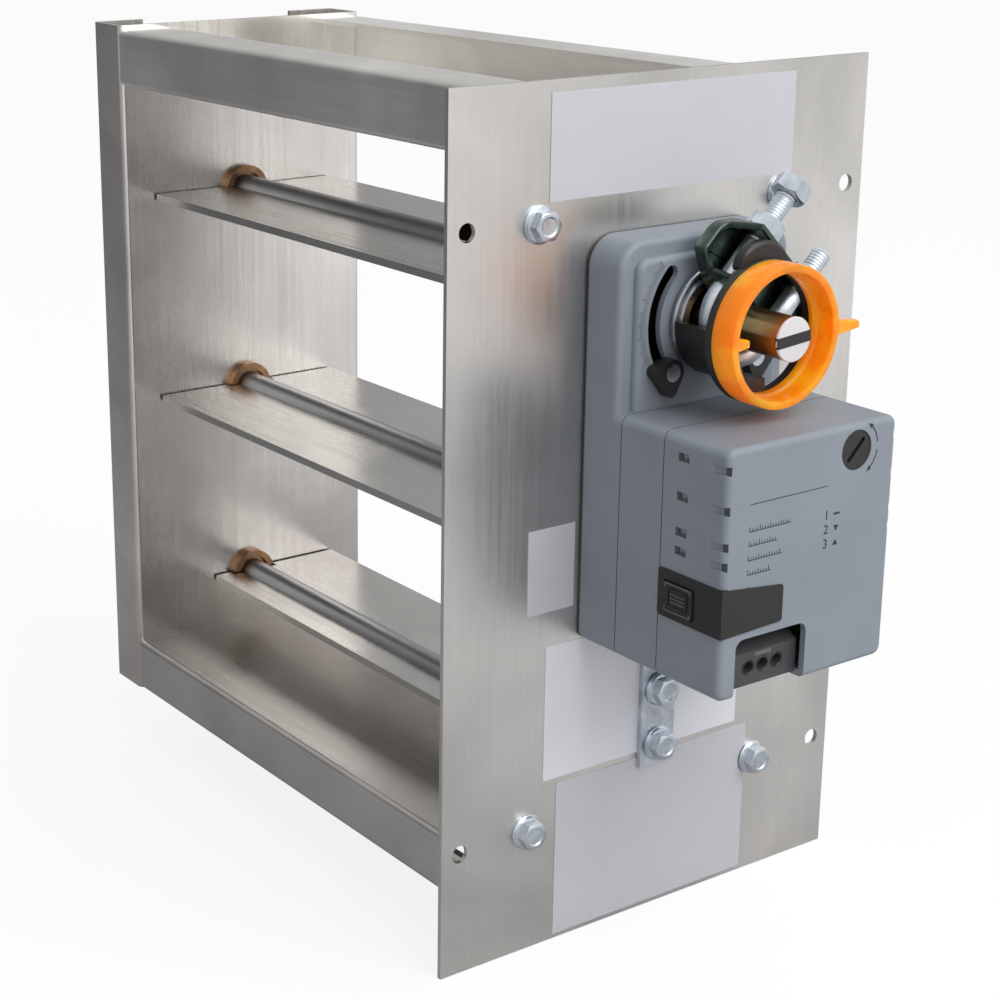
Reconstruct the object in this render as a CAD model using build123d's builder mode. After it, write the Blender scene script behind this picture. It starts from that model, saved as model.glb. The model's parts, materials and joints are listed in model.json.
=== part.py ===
"""Volume control damper: a sheet metal frame with three parallel blades, driven by a rotary actuator.

Frame of the model: origin at the centre of the motor plate's back face, +X out through the plate
to the actuator, +Z up, -Y towards the open face of the duct that is nearer. Millimetres.
The blades stand open, edge to the air. Turning the jackshaft 90 degrees about +X shuts them.
"""

import os
from math import cos, pi, radians, sin, sqrt, tan

from build123d import *

os.makedirs("parts", exist_ok=True)

# ---------------------------------------------------------------- Driving dimensions
# Sheet metal and fits
sheet = 1.5  # thickness of every folded sheet part
bend_inside = 0.5  # inside radius of a fold
running_fit = 0.06  # radial, shaft in bushing or pin in its bore
open_pivot_fit = 0.3  # radial, tie bar holes that the linkage doesn't load
part_gap = 0.3  # between pieces that pass each other

# Motor plate
plate_width = 161.0
plate_height = 267.0
plate_thickness = 1.5
corner_pitch_y = 147.6
corner_pitch_z = 187.6
corner_hole_radius = 2.8

# Damper frame
frame_depth = 100.0
frame_middle_y = -22.5
plate_margin_low = 22.0  # plate below the frame
frame_length = 200.0  # duct face of the left channel to the back of the plate
channel_height = 19.0
channel_lip = 19.0
left_rise = 1.5  # the left channel stands above the top channel
right_height = 11.0
right_lip = 12.0
relief_radius = 4.2  # clears the duct bolts at the near corners

# Blades and their shafts
shaft_y = -23.5
blade_gap = 1.0  # edge to edge when shut
ceiling_gap = 3.7  # top blade's wing under the duct ceiling when shut
blade_thickness = 2.5
blade_end_gap = 1.0
floor_gap = 2.5  # bottom blade's short wing over the duct floor when shut
saddle_wall = 1.5
shaft_radius = 5.0
shaft_overhang = 8.0  # beyond the left channel's duct face
clip_thickness = 1.0
clip_radius = 7.6
clip_groove = 0.6

# Bushings
bushing_radius = 6.5
flange_radius = 8.5
flange_thickness = 3.0
mouth_radius = 6.2
mouth_depth = 1.6
bushing_tail = 5.6

# Linkage in the right channel's recess
crank_length = 13.0
crank_angle = 135.0  # at rest, from +Y towards +Z
crank_thickness = 2.5
crank_offset = 0.4  # off the right channel's web
crank_hub_radius = 8.0
drive_hub_radius = 9.5
boss_radius = 4.5
pin_radius = 2.5
pin_head_radius = 3.8
pin_head_thickness = 1.0
tie_thickness = 2.0
tie_gap = 0.5
head_gap = 0.2

# Jackshaft
spindle_y = 2.0
spindle_z = 63.5
spindle_radius = 6.35
spindle_end = 50.5  # beyond the plate's outer face
spindle_inset = 1.6  # into the right channel's bushing flange
spindle_slot_width = 2.4
spindle_slot_depth = 1.2
jack_barrel_radius = 7.75
jack_flange_radius = 8.75
jack_flange_thickness = 2.0

# Bolts of the plate and the strap
bolt_radius = 2.5
bolt_hole_radius = 2.65
bolt_flange_radius = 5.6
bolt_flange_thickness = 1.2
bolt_hex_flats = 8.0
bolt_hex_height = 3.6
bolt_tail = 6.5
nut_height = 4.0
near_bolt_y = -48.5
far_bolt_y = 45.6
bolt_z = 93.5

# Actuator housing
actuator_width = 66.0
actuator_middle_y = 2.5
actuator_bottom = -34.5
actuator_top = 88.5
block_top = 39.0
gear_case_height = 17.0  # off the plate
block_seam = 35.0
block_front = 60.5
wall = 2.0
case_shoulder = 2.5  # plateau above the case's shoulder
case_inset = 5.0
top_corner_radius = 9.0
low_corner_radius = 3.0
base_thickness = 2.0
edge_radius = 2.0

# Gear train
gear_module = 1.0
tooth_height = 0.75  # over the pitch circle, in modules
tooth_depth = 1.15  # under the pitch circle, in modules
tooth_width = 0.36  # at the pitch circle, as a share of the pitch
tooth_slope = 0.45
output_teeth = 42
second_pinion_teeth = 12
second_wheel_teeth = 24
first_pinion_teeth = 12
first_wheel_teeth = 18
motor_pinion_teeth = 10
low_layer = 3.5  # over the plate's outer face
low_layer_thickness = 4.5
high_layer = 9.0
high_layer_thickness = 3.5
axle_radius = 1.5
hub_radius = 13.0
hub_bore = 10.0
hub_start = 0.5
hub_proud = 1.1  # over the gear case

# Motor, circuit board, dial, button, socket
motor_radius = 16.0
motor_length = 25.0
motor_pilot_radius = 6.0
board_height = 46.5
board_thickness = 1.6
dial_y = 19.2
dial_z = 31.1
dial_radius = 5.9
dial_height = 3.2
switch_height = 4.4
bezel_top = -0.8
bezel_bottom = -15.2
bezel_end_y = -7.4
bezel_proud = 0.4
bezel_slope = 2.6
button_back = 39.0
button_front = 51.0
button_top = -4.2
button_bottom = -13.2
button_proud = 0.4
button_flange = 1.0
button_flange_thickness = 1.5
button_stem = 3.5
board_notch = 12.5
board_notch_height = 16.0
switch_width = 8.0
capacitor_radius = 4.0
capacitor_height = 7.5
capacitor_pitch = 14.0
dial_sunk = 0.3
dial_stem_radius = 1.5
dial_slot_length = 9.0
dial_slot_width = 1.4
dial_slot_depth = 1.0
socket_left = -24.5
socket_right = 3.0
socket_top = -17.0
socket_front_drop = 3.5
socket_hole_radius = 1.7
socket_pitch = 5.5
socket_hole_y = -10.2
socket_hole_z = -27.9
socket_step = 1.2
socket_brow = 4.6
socket_hole_depth = 6.0
vent_heights = (33.0, 21.6, 11.2, 5.6)
vent_height = 2.6
vent_length = 7.0
vent_depth = 1.5
vent_wall = 1.6
slot_vent_x = 44.5
slot_vent_length = 4.6
slot_vent_depth = 1.0

# Clamp on the spindle
clamp_angle = 45.0  # of the U-bolt's legs, from +Y towards +Z
seat_radius = 16.2
seat_thickness = 1.4
seat_rim = 1.0
wire_radius = 3.0
leg_spacing = 24.2
long_leg = 43.0
short_leg = 36.0
jaw_wall = 2.0
jaw_width = 12.5
jaw_top = 23.5
jaw_half_width = 24.5
jaw_nut_flat = 18.5
jaw_vee_depth = 6.5
jaw_flank = 4.0
jaw_flank_width = 16.7
jaw_ear_start = 7.8
jaw_ear_end = 17.5
jaw_gap = 0.4  # over the end stops
clamp_nut_flats = 10.0
clamp_nut_height = 5.0
end_nut_at = 37.5

# Indicator and end stops
ring_radius = 20.7
ring_inner = 18.3
ring_start = 39.0
ring_height = 9.0
carrier_thickness = 2.5
carrier_inner = 17.5
carrier_sleeve_inner = 13.6
carrier_sleeve_outer = 16.0
carrier_half_angle = 50.0
pointer_reach = 29.0
pointer_width = 5.0
pointer_tip = 2.0
pointer_depth = 3.5
pointer_inner = 13.5
stop_slot_radius = 21.5
stop_slot_width = 4.6
stop_slot_top = 137.0
stop_slot_bottom = 219.0
stop_thickness = 3.6
stop_gap = 0.1
stop_radius = 4.0
stop_horn_radius = 1.8
stop_horn_reach = 25.5
stop_horn_angle = 9.0
stop_key_radius = 2.1
stop_foot_radius = 3.0
stop_foot_thickness = 0.6
stop_screw_radius = 1.4
stop_screw_head = 2.6
stop_screw_head_height = 1.2

# Anti-rotation strap and blank labels
strap_width = 13.5
strap_thickness = 1.8
strap_bottom = -83.5
strap_top = -30.5
strap_bolt_low = -76.3
strap_bolt_high = -57.8
label_thickness = 0.2

# ---------------------------------------------------------------- Worked out from them
plate_face = plate_thickness
strap_back = plate_face + label_thickness
strap_face = strap_back + strap_thickness
strap_middle_z = (strap_bottom + strap_top) / 2
plate_bolt_places = [(y, z) for y in (near_bolt_y, far_bolt_y) for z in (-bolt_z, bolt_z)]
strap_bolt_places = [(spindle_y, strap_bolt_low), (spindle_y, strap_bolt_high)]
strap_length = strap_top - strap_bottom
frame_top = plate_height / 2
frame_bottom = plate_margin_low - plate_height / 2
frame_height = frame_top - frame_bottom
duct_ceiling = frame_top - channel_height
duct_floor = frame_bottom + channel_height
left_face = -frame_length
right_face = -right_height
recess_floor = right_face + sheet

blade_pitch = (duct_ceiling - ceiling_gap + blade_gap / 2) * 2 / 3  # 1.5 pitches up from the middle shaft
shaft_heights = {"top": blade_pitch, "middle": 0.0, "bottom": -blade_pitch}
blade_reach = (blade_pitch - blade_gap) / 2
short_reach = -blade_pitch - duct_floor - floor_gap
blade_left = left_face + blade_end_gap
blade_right = right_face - blade_end_gap
notch_radius = flange_radius + blade_end_gap

crank_low = recess_floor + crank_offset
crank_high = crank_low + crank_thickness
tie_low = crank_high + tie_gap
tie_high = tie_low + tie_thickness
pin_head_low = tie_high + head_gap
crank_dy = crank_length * cos(radians(crank_angle))
crank_dz = crank_length * sin(radians(crank_angle))

case_front = plate_face + gear_case_height
seam_x = plate_face + block_seam
front_x = plate_face + block_front
actuator_left = actuator_middle_y - actuator_width / 2
actuator_right = actuator_middle_y + actuator_width / 2
inner_left = actuator_left + wall
base_front = plate_face + base_thickness
ceiling_x = case_front - wall

second_axle_z = spindle_z - gear_module * (output_teeth + second_pinion_teeth) / 2
first_axle_z = second_axle_z - gear_module * (second_wheel_teeth + first_pinion_teeth) / 2
motor_z = first_axle_z - gear_module * (first_wheel_teeth + motor_pinion_teeth) / 2
low_layer_x = plate_face + low_layer
high_layer_x = plate_face + high_layer
hub_top = case_front + hub_proud
seat_top = hub_top + seat_thickness
stop_low = case_front + stop_gap
stop_high = stop_low + stop_thickness
jaw_low = stop_high + jaw_gap
clamp_x = jaw_low + jaw_width / 2
ring_x = plate_face + ring_start
board_x = plate_face + board_height
board_face = board_x + board_thickness

clamp_plane = Plane(
    origin=(0, spindle_y, spindle_z),
    x_dir=(0, cos(radians(clamp_angle)), sin(radians(clamp_angle))),
    z_dir=(1, 0, 0),
)
leg_plane = Plane(
    origin=(clamp_x, spindle_y, spindle_z),
    x_dir=(0, -sin(radians(clamp_angle)), cos(radians(clamp_angle))),
    z_dir=(0, cos(radians(clamp_angle)), sin(radians(clamp_angle))),
)


def side_plane(x):
    """The plane across the X axis at x, with Y across and Z up."""
    return Plane.YZ.offset(x)


def axle_plane(z, y=spindle_y):
    """The plane across an axle along X, at x = 0, with its origin on the axle."""
    return Plane(origin=(0, y, z), x_dir=(0, 1, 0), z_dir=(1, 0, 0))


spindle_plane = axle_plane(spindle_z)
motor_plane = axle_plane(motor_z)


def save(builder, name):
    """Label a finished piece and write it to its own file."""
    builder.part.label = name
    export_step(builder.part, f"parts/{name}.step")


# ---------------------------------------------------------------- Folded channels
def channel_section(width, height, lip):
    """A lipped C section: web along the local X axis, recess opening towards local +Y."""
    with BuildSketch() as section:
        with Locations((0, height / 2)):
            Rectangle(width, height)
            Rectangle(width - 2 * sheet, height - 2 * sheet, mode=Mode.SUBTRACT)
        with Locations((0, height - sheet / 2)):
            Rectangle(width - 2 * lip, sheet, mode=Mode.SUBTRACT)
        outer = [v for v in section.vertices() if abs(abs(v.X) - width / 2) < 1e-4]
        fillet(outer, sheet + bend_inside)
        inner = [v for v in section.vertices() if abs(abs(v.X) - width / 2 + sheet) < 1e-4]
        fillet(inner, bend_inside)
    return section.sketch


with BuildPart() as left_channel:
    foot = Plane(origin=(left_face, frame_middle_y, frame_bottom), x_dir=(0, 1, 0), z_dir=(0, 0, 1))
    with BuildSketch(foot):
        add(channel_section(frame_depth, channel_height, channel_lip))
    extrude(amount=frame_height + left_rise)
    with BuildSketch(side_plane(left_face)):
        for shaft_z in shaft_heights.values():
            with Locations((shaft_y, shaft_z)):
                Circle(bushing_radius)
    extrude(amount=-sheet, mode=Mode.SUBTRACT)
save(left_channel, "left_channel")

with BuildPart() as top_channel:
    end = Plane(origin=(left_face, frame_middle_y, duct_ceiling), x_dir=(0, 1, 0), z_dir=(1, 0, 0))
    with BuildSketch(end):
        add(channel_section(frame_depth, channel_height, channel_lip))
    extrude(amount=frame_length)
save(top_channel, "top_channel")

with BuildPart() as bottom_channel:
    end = Plane(origin=(left_face, frame_middle_y, duct_floor), x_dir=(0, -1, 0), z_dir=(1, 0, 0))
    with BuildSketch(end):
        add(channel_section(frame_depth, channel_height, channel_lip))
    extrude(amount=frame_length)
    with BuildSketch(side_plane(right_face)):
        with Locations((-corner_pitch_y / 2, -corner_pitch_z / 2)):
            Circle(relief_radius)
    extrude(amount=right_height, mode=Mode.SUBTRACT)
    with BuildSketch(side_plane(-bolt_tail - part_gap)):
        with Locations((near_bolt_y, -bolt_z), *strap_bolt_places):
            Circle(bolt_flange_radius)
    extrude(amount=bolt_tail + part_gap, mode=Mode.SUBTRACT)
save(bottom_channel, "bottom_channel")

with BuildPart() as right_channel:
    foot = Plane(origin=(right_face, frame_middle_y, duct_floor), x_dir=(0, -1, 0), z_dir=(0, 0, 1))
    with BuildSketch(foot):
        add(channel_section(frame_depth, right_height, right_lip))
    extrude(amount=duct_ceiling - duct_floor)
    with BuildSketch(side_plane(right_face)):
        for shaft_z in shaft_heights.values():
            with Locations((shaft_y, shaft_z)):
                Circle(bushing_radius)
        with Locations((spindle_y, spindle_z)):
            Circle(jack_barrel_radius)
    extrude(amount=sheet, mode=Mode.SUBTRACT)
    with BuildSketch(side_plane(right_face)):
        with Locations((-corner_pitch_y / 2, 0)):
            with GridLocations(1, corner_pitch_z, 1, 2):
                Circle(relief_radius)
    extrude(amount=right_height, mode=Mode.SUBTRACT)
save(right_channel, "right_channel")

# ---------------------------------------------------------------- Motor plate and its bolts
with BuildPart() as motor_plate:
    with BuildSketch(side_plane(0)):
        Rectangle(plate_width, plate_height)
        with GridLocations(corner_pitch_y, corner_pitch_z, 2, 2):
            Circle(corner_hole_radius, mode=Mode.SUBTRACT)
        with Locations(*plate_bolt_places, *strap_bolt_places):
            Circle(bolt_hole_radius, mode=Mode.SUBTRACT)
        with Locations((spindle_y, spindle_z)):
            Circle(jack_barrel_radius, mode=Mode.SUBTRACT)
    extrude(amount=plate_thickness)
save(motor_plate, "motor_plate")


def make_bolts(places, seat_x):
    """Hex flange bolts whose heads seat at seat_x, with their tails behind the plate."""
    with BuildPart() as bolts:
        with BuildSketch(side_plane(seat_x)):
            with Locations(*places):
                Circle(bolt_flange_radius)
        extrude(amount=bolt_flange_thickness)
        with BuildSketch(side_plane(seat_x + bolt_flange_thickness)):
            with Locations(*places):
                RegularPolygon(bolt_hex_flats / 2, 6, major_radius=False)
        extrude(amount=bolt_hex_height)
        with BuildSketch(side_plane(-bolt_tail)):
            with Locations(*places):
                Circle(bolt_radius)
        extrude(amount=seat_x + bolt_tail)
    return bolts


save(make_bolts(plate_bolt_places, plate_face), "plate_bolts")
save(make_bolts(strap_bolt_places, strap_face), "strap_bolts")

with BuildPart() as plate_nuts:
    with BuildSketch(side_plane(0)):
        with Locations(*plate_bolt_places, *strap_bolt_places):
            RegularPolygon(bolt_hex_flats / 2, 6, major_radius=False)
            Circle(bolt_radius, mode=Mode.SUBTRACT)
    extrude(amount=-nut_height)
save(plate_nuts, "plate_nuts")

# ---------------------------------------------------------------- Bushings
def bushing_section(face, side, tail, bore, barrel, flange, thickness, mouth, depth):
    """Half section of a flanged bushing about the X axis, its flange on the given side (+1 or -1) of face."""
    with BuildSketch() as section:
        with BuildLine():
            Polyline(
                (face + side * thickness, mouth),
                (face + side * thickness, flange),
                (face, flange),
                (face, barrel),
                (face - side * tail, barrel),
                (face - side * tail, bore),
                (face + side * (thickness - depth), bore),
                (face + side * (thickness - depth), mouth),
                close=True,
            )
        make_face()
    return section.sketch


def shaft_bushings(face, side, tail):
    """The three blade shafts' bushings in one channel's web."""
    section = bushing_section(
        face, side, tail, shaft_radius + running_fit, bushing_radius,
        flange_radius, flange_thickness, mouth_radius, mouth_depth,
    )
    with BuildPart() as bushings:
        for shaft_z in shaft_heights.values():
            with BuildSketch(Plane.XY.offset(shaft_z)):
                with Locations((0, shaft_y)):
                    add(section)
            revolve(axis=Axis((0, shaft_y, shaft_z), (1, 0, 0)))
    return bushings


save(shaft_bushings(left_face, 1, sheet + bushing_tail), "left_bushings")
save(shaft_bushings(right_face, -1, sheet), "right_bushings")

with BuildPart() as jackshaft_bushings:
    jack_bore = spindle_radius + running_fit
    for face, tail in ((right_face, sheet), (0, plate_thickness)):
        section = bushing_section(
            face, -1, tail, jack_bore, jack_barrel_radius, jack_flange_radius, jack_flange_thickness,
            (jack_bore + jack_flange_radius) / 2, jack_flange_thickness / 4,
        )
        with BuildSketch(Plane.XY.offset(spindle_z)):
            with Locations((0, spindle_y)):
                add(section)
        revolve(axis=Axis((0, spindle_y, spindle_z), (1, 0, 0)))
save(jackshaft_bushings, "jackshaft_bushings")

# ---------------------------------------------------------------- Blades, shafts, clips and cranks
def lever(plane, hub, bore):
    """A crank plate: hub at the plane's origin, boss at the crank pin, both drilled."""
    with BuildPart() as crank:
        with BuildSketch(plane):
            with BuildLine():
                CenterArc((0, 0), hub, 0, 360)
                CenterArc((crank_dy, crank_dz), boss_radius, 0, 360)
            make_hull()
            Circle(bore, mode=Mode.SUBTRACT)
            with Locations((crank_dy, crank_dz)):
                Circle(pin_radius, mode=Mode.SUBTRACT)
        extrude(amount=crank_thickness)
    return crank


def crank_pin(plane):
    """A shouldered rivet through the crank and the tie bar."""
    with BuildPart() as pin:
        with BuildSketch(plane):
            with Locations((crank_dy, crank_dz)):
                Circle(pin_radius)
        extrude(amount=pin_head_low - crank_low)
        with BuildSketch(plane.offset(pin_head_low - crank_low)):
            with Locations((crank_dy, crank_dz)):
                Circle(pin_head_radius)
        extrude(amount=pin_head_thickness)
    return pin


for place, shaft_z in shaft_heights.items():
    front_reach = short_reach if place == "bottom" else blade_reach
    axis_plane = axle_plane(shaft_z, shaft_y)

    with BuildPart() as blade:
        with BuildSketch(axis_plane.offset(blade_left)):
            with Locations(((blade_reach - front_reach) / 2, 0)):
                Rectangle(front_reach + blade_reach, blade_thickness)
        extrude(amount=blade_right - blade_left)
        with BuildSketch(axis_plane.offset(blade_left)):
            Circle(shaft_radius + saddle_wall)
            with Locations((0, shaft_radius)):
                Rectangle(4 * shaft_radius, 2 * shaft_radius, mode=Mode.SUBTRACT)
        extrude(amount=blade_right - blade_left)
        with BuildSketch(axis_plane.offset(blade_left)):
            Circle(shaft_radius)
        extrude(amount=blade_right - blade_left, mode=Mode.SUBTRACT)
        for start, end in (
            (blade_left, left_face + flange_thickness + blade_end_gap),
            (right_face - flange_thickness - blade_end_gap, blade_right),
        ):
            with BuildSketch(axis_plane.offset(start)):
                Rectangle(2 * notch_radius, 2 * notch_radius)
            extrude(amount=end - start, mode=Mode.SUBTRACT)
    save(blade, f"blade_{place}")

    shaft_start = left_face - shaft_overhang
    clip_x = left_face - sheet - bushing_tail - clip_thickness - part_gap / 2
    with BuildPart() as blade_shaft:
        with BuildSketch(axis_plane.offset(shaft_start - clip_thickness)):
            Circle(shaft_radius)
        extrude(amount=crank_high - shaft_start + clip_thickness)
        with BuildSketch(axis_plane.offset(clip_x)):
            Circle(shaft_radius)
            Circle(shaft_radius - clip_groove, mode=Mode.SUBTRACT)
        extrude(amount=clip_thickness, mode=Mode.SUBTRACT)
    save(blade_shaft, f"blade_shaft_{place}")

    with BuildPart() as shaft_clip:
        with BuildSketch(axis_plane.offset(clip_x)):
            Circle(clip_radius)
            Circle(shaft_radius - clip_groove, mode=Mode.SUBTRACT)
            with Locations((0, -clip_radius)):
                Rectangle(shaft_radius, 2 * clip_radius, mode=Mode.SUBTRACT)
        extrude(amount=clip_thickness)
    save(shaft_clip, f"shaft_clip_{place}")

    save(lever(axis_plane.offset(crank_low), crank_hub_radius, shaft_radius), f"crank_{place}")
    save(crank_pin(axis_plane.offset(crank_low)), f"crank_pin_{place}")

save(lever(spindle_plane.offset(crank_low), drive_hub_radius, spindle_radius), "drive_crank")
save(crank_pin(spindle_plane.offset(crank_low)), "drive_pin")

# ---------------------------------------------------------------- Tie bar
tie_y = shaft_y + crank_dy
arm_y = spindle_y + crank_dy
arm_z = spindle_z + crank_dz

with BuildPart() as tie_bar:
    with BuildSketch(side_plane(tie_low)):
        with Locations((tie_y, crank_dz)):
            SlotCenterToCenter(2 * blade_pitch, 2 * boss_radius, rotation=90)
        with Locations(((tie_y + arm_y) / 2, arm_z)):
            SlotCenterToCenter(arm_y - tie_y, 2 * boss_radius)
        with Locations(*[(tie_y, shaft_z + crank_dz) for shaft_z in shaft_heights.values()]):
            Circle(pin_radius + open_pivot_fit, mode=Mode.SUBTRACT)
        with Locations((arm_y, arm_z)):
            Circle(pin_radius + running_fit, mode=Mode.SUBTRACT)
    extrude(amount=tie_thickness)
save(tie_bar, "tie_bar")

# ---------------------------------------------------------------- Jackshaft
with BuildPart() as jackshaft:
    spindle_low = right_face - spindle_inset
    spindle_high = plate_face + spindle_end
    with BuildSketch(spindle_plane.offset(spindle_low)):
        Circle(spindle_radius)
    extrude(amount=spindle_high - spindle_low)
    chamfer(jackshaft.edges().group_by(Axis.X)[-1], 0.4)
    with BuildSketch(spindle_plane.offset(spindle_high)):
        Rectangle(2 * spindle_radius, spindle_slot_width)
    extrude(amount=-spindle_slot_depth, mode=Mode.SUBTRACT)
save(jackshaft, "jackshaft")

# ---------------------------------------------------------------- Anti-rotation strap and labels
with BuildPart() as anti_rotation_strap:
    with BuildSketch(side_plane(strap_back)):
        with Locations((spindle_y, strap_middle_z)):
            Rectangle(strap_width, strap_length)
        with Locations(*strap_bolt_places):
            Circle(bolt_hole_radius, mode=Mode.SUBTRACT)
    extrude(amount=strap_thickness)
save(anti_rotation_strap, "anti_rotation_strap")

label_outlines = {
    "label_upper": (-45.0, 49.5, 99.5, 130.0),
    "label_side": (-50.0, -32.5, -23.5, 2.8),
    "label_middle": (-42.5, 37.3, -78.5, actuator_bottom - part_gap),
    "label_lower": (-37.2, 42.4, -132.0, -80.6),
}
for name, (left, right, low, high) in label_outlines.items():
    with BuildPart() as label:
        with BuildSketch(side_plane(plate_face)):
            with Locations(((left + right) / 2, (low + high) / 2)):
                Rectangle(right - left, high - low)
            with Locations(*plate_bolt_places):
                Circle(bolt_flange_radius + part_gap, mode=Mode.SUBTRACT)
            with Locations(*strap_bolt_places):
                Circle(bolt_hole_radius, mode=Mode.SUBTRACT)
        extrude(amount=label_thickness)
    save(label, name)

# ---------------------------------------------------------------- Actuator housing
block_middle_z = (actuator_bottom + block_top) / 2
block_height = block_top - actuator_bottom


def block_outline(inset):
    """Outline of the actuator's lower block, drawn in by an inset."""
    with BuildSketch() as outline:
        with Locations((actuator_middle_y, block_middle_z)):
            RectangleRounded(
                actuator_width - 2 * inset,
                block_height - 2 * inset,
                max(low_corner_radius - inset, 0.5),
            )
    return outline.sketch


def case_outline(inset):
    """Outline of the whole actuator, with large corners at the spindle's end, drawn in by an inset."""
    with BuildSketch() as outline:
        with Locations((actuator_middle_y, (actuator_bottom + actuator_top) / 2)):
            Rectangle(actuator_width - 2 * inset, actuator_top - actuator_bottom - 2 * inset)
        fillet(outline.vertices().group_by(Axis.Y)[-1], top_corner_radius - inset)
        fillet(outline.vertices().group_by(Axis.Y)[0], max(low_corner_radius - inset, 0.5))
    return outline.sketch


def stop_slot(width, spread):
    """The two arc slots round the spindle, widened by a spread in degrees at each end."""
    with BuildSketch() as slots:
        for start, end in (
            (stop_slot_top, stop_slot_bottom),
            (180 - stop_slot_bottom, 180 - stop_slot_top),
        ):
            with BuildLine():
                arc = CenterArc((0, 0), stop_slot_radius, start - spread, end - start + 2 * spread)
            SlotArc(arc, width)
    return slots.sketch


bezel_side_plane = Plane(origin=(0, actuator_left, 0), x_dir=(1, 0, 0), z_dir=(0, 1, 0))


def bezel_side():
    """Outline of the bezel on the block's side, in a plane whose local Y points down."""
    with BuildSketch() as outline:
        with Locations(((seam_x + front_x) / 2, -(bezel_top + bezel_bottom) / 2)):
            Rectangle(front_x - seam_x, bezel_top - bezel_bottom)
        fillet(outline.vertices().group_by(Axis.X)[0], edge_radius / 2)
    return outline.sketch


def bezel_front():
    """Outline of the bezel on the block's front, a little narrower towards its end."""
    with BuildSketch() as outline:
        with BuildLine():
            Polyline(
                (actuator_left - bezel_proud, bezel_bottom),
                (actuator_left - bezel_proud, bezel_top),
                (bezel_end_y, bezel_top - bezel_slope),
                (bezel_end_y, bezel_bottom + bezel_slope / 3),
                close=True,
            )
        make_face()
        fillet(outline.vertices().group_by(Axis.X)[-1], edge_radius / 2)
    return outline.sketch


def button_outline(growth):
    """Outline of the release button in the same plane as the bezel's side, grown all round."""
    with BuildSketch() as outline:
        with Locations(((button_back + button_front) / 2, -(button_top + button_bottom) / 2)):
            RectangleRounded(
                button_front - button_back + 2 * growth,
                button_top - button_bottom + 2 * growth,
                edge_radius / 2,
            )
    return outline.sketch


def socket_outline(top, bottom):
    """Outline of the terminal cut-out in the block's front, with round upper corners."""
    with BuildSketch() as outline:
        with Locations(((socket_left + socket_right) / 2, (top + bottom) / 2)):
            Rectangle(socket_right - socket_left, top - bottom)
        fillet(outline.vertices().group_by(Axis.Y)[-1], low_corner_radius)
    return outline.sketch


with BuildPart() as actuator_base:
    with BuildSketch(side_plane(plate_face)):
        add(case_outline(wall))
        with Locations((spindle_y, spindle_z)):
            Circle(hub_radius + running_fit, mode=Mode.SUBTRACT)
        with Locations((spindle_y, strap_middle_z)):
            Rectangle(strap_width + 2 * part_gap, strap_length + 2 * part_gap, mode=Mode.SUBTRACT)
    extrude(amount=base_thickness)
save(actuator_base, "actuator_base")

with BuildPart() as gear_case:
    with BuildSketch(side_plane(plate_face)):
        add(case_outline(0))
    extrude(amount=gear_case_height - case_shoulder)
    fillet(gear_case.edges().group_by(Axis.X)[-1], edge_radius)
    with BuildSketch(side_plane(case_front - case_shoulder)):
        add(case_outline(case_inset))
    extrude(amount=case_shoulder)
    fillet(gear_case.edges().group_by(Axis.X)[-1], edge_radius)
    with BuildSketch(side_plane(case_front - case_shoulder - edge_radius)):
        add(block_outline(0))
    extrude(amount=case_shoulder + edge_radius)
    with BuildSketch(side_plane(plate_face)):
        add(case_outline(wall))
    extrude(amount=ceiling_x - case_shoulder - plate_face, mode=Mode.SUBTRACT)
    with BuildSketch(side_plane(ceiling_x - case_shoulder)):
        add(case_outline(case_inset + wall))
    extrude(amount=case_shoulder, mode=Mode.SUBTRACT)
    with BuildSketch(spindle_plane.offset(ceiling_x)):
        Circle(hub_radius + running_fit)
        add(stop_slot(stop_slot_width, 1))
    extrude(amount=2 * wall, mode=Mode.SUBTRACT)
    with BuildSketch(motor_plane.offset(ceiling_x)):
        Circle(motor_pilot_radius)
    extrude(amount=wall, mode=Mode.SUBTRACT)
    with BuildSketch(side_plane(plate_face)):
        with Locations((spindle_y, actuator_bottom)):
            Rectangle(strap_width + 2 * part_gap, 3 * wall)
    extrude(amount=strap_face - plate_face + part_gap, mode=Mode.SUBTRACT)
save(gear_case, "gear_case")

with BuildPart() as block_body:
    with BuildSketch(side_plane(case_front)):
        add(block_outline(0))
        add(block_outline(wall), mode=Mode.SUBTRACT)
    extrude(amount=seam_x - case_front)
save(block_body, "block_body")

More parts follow.
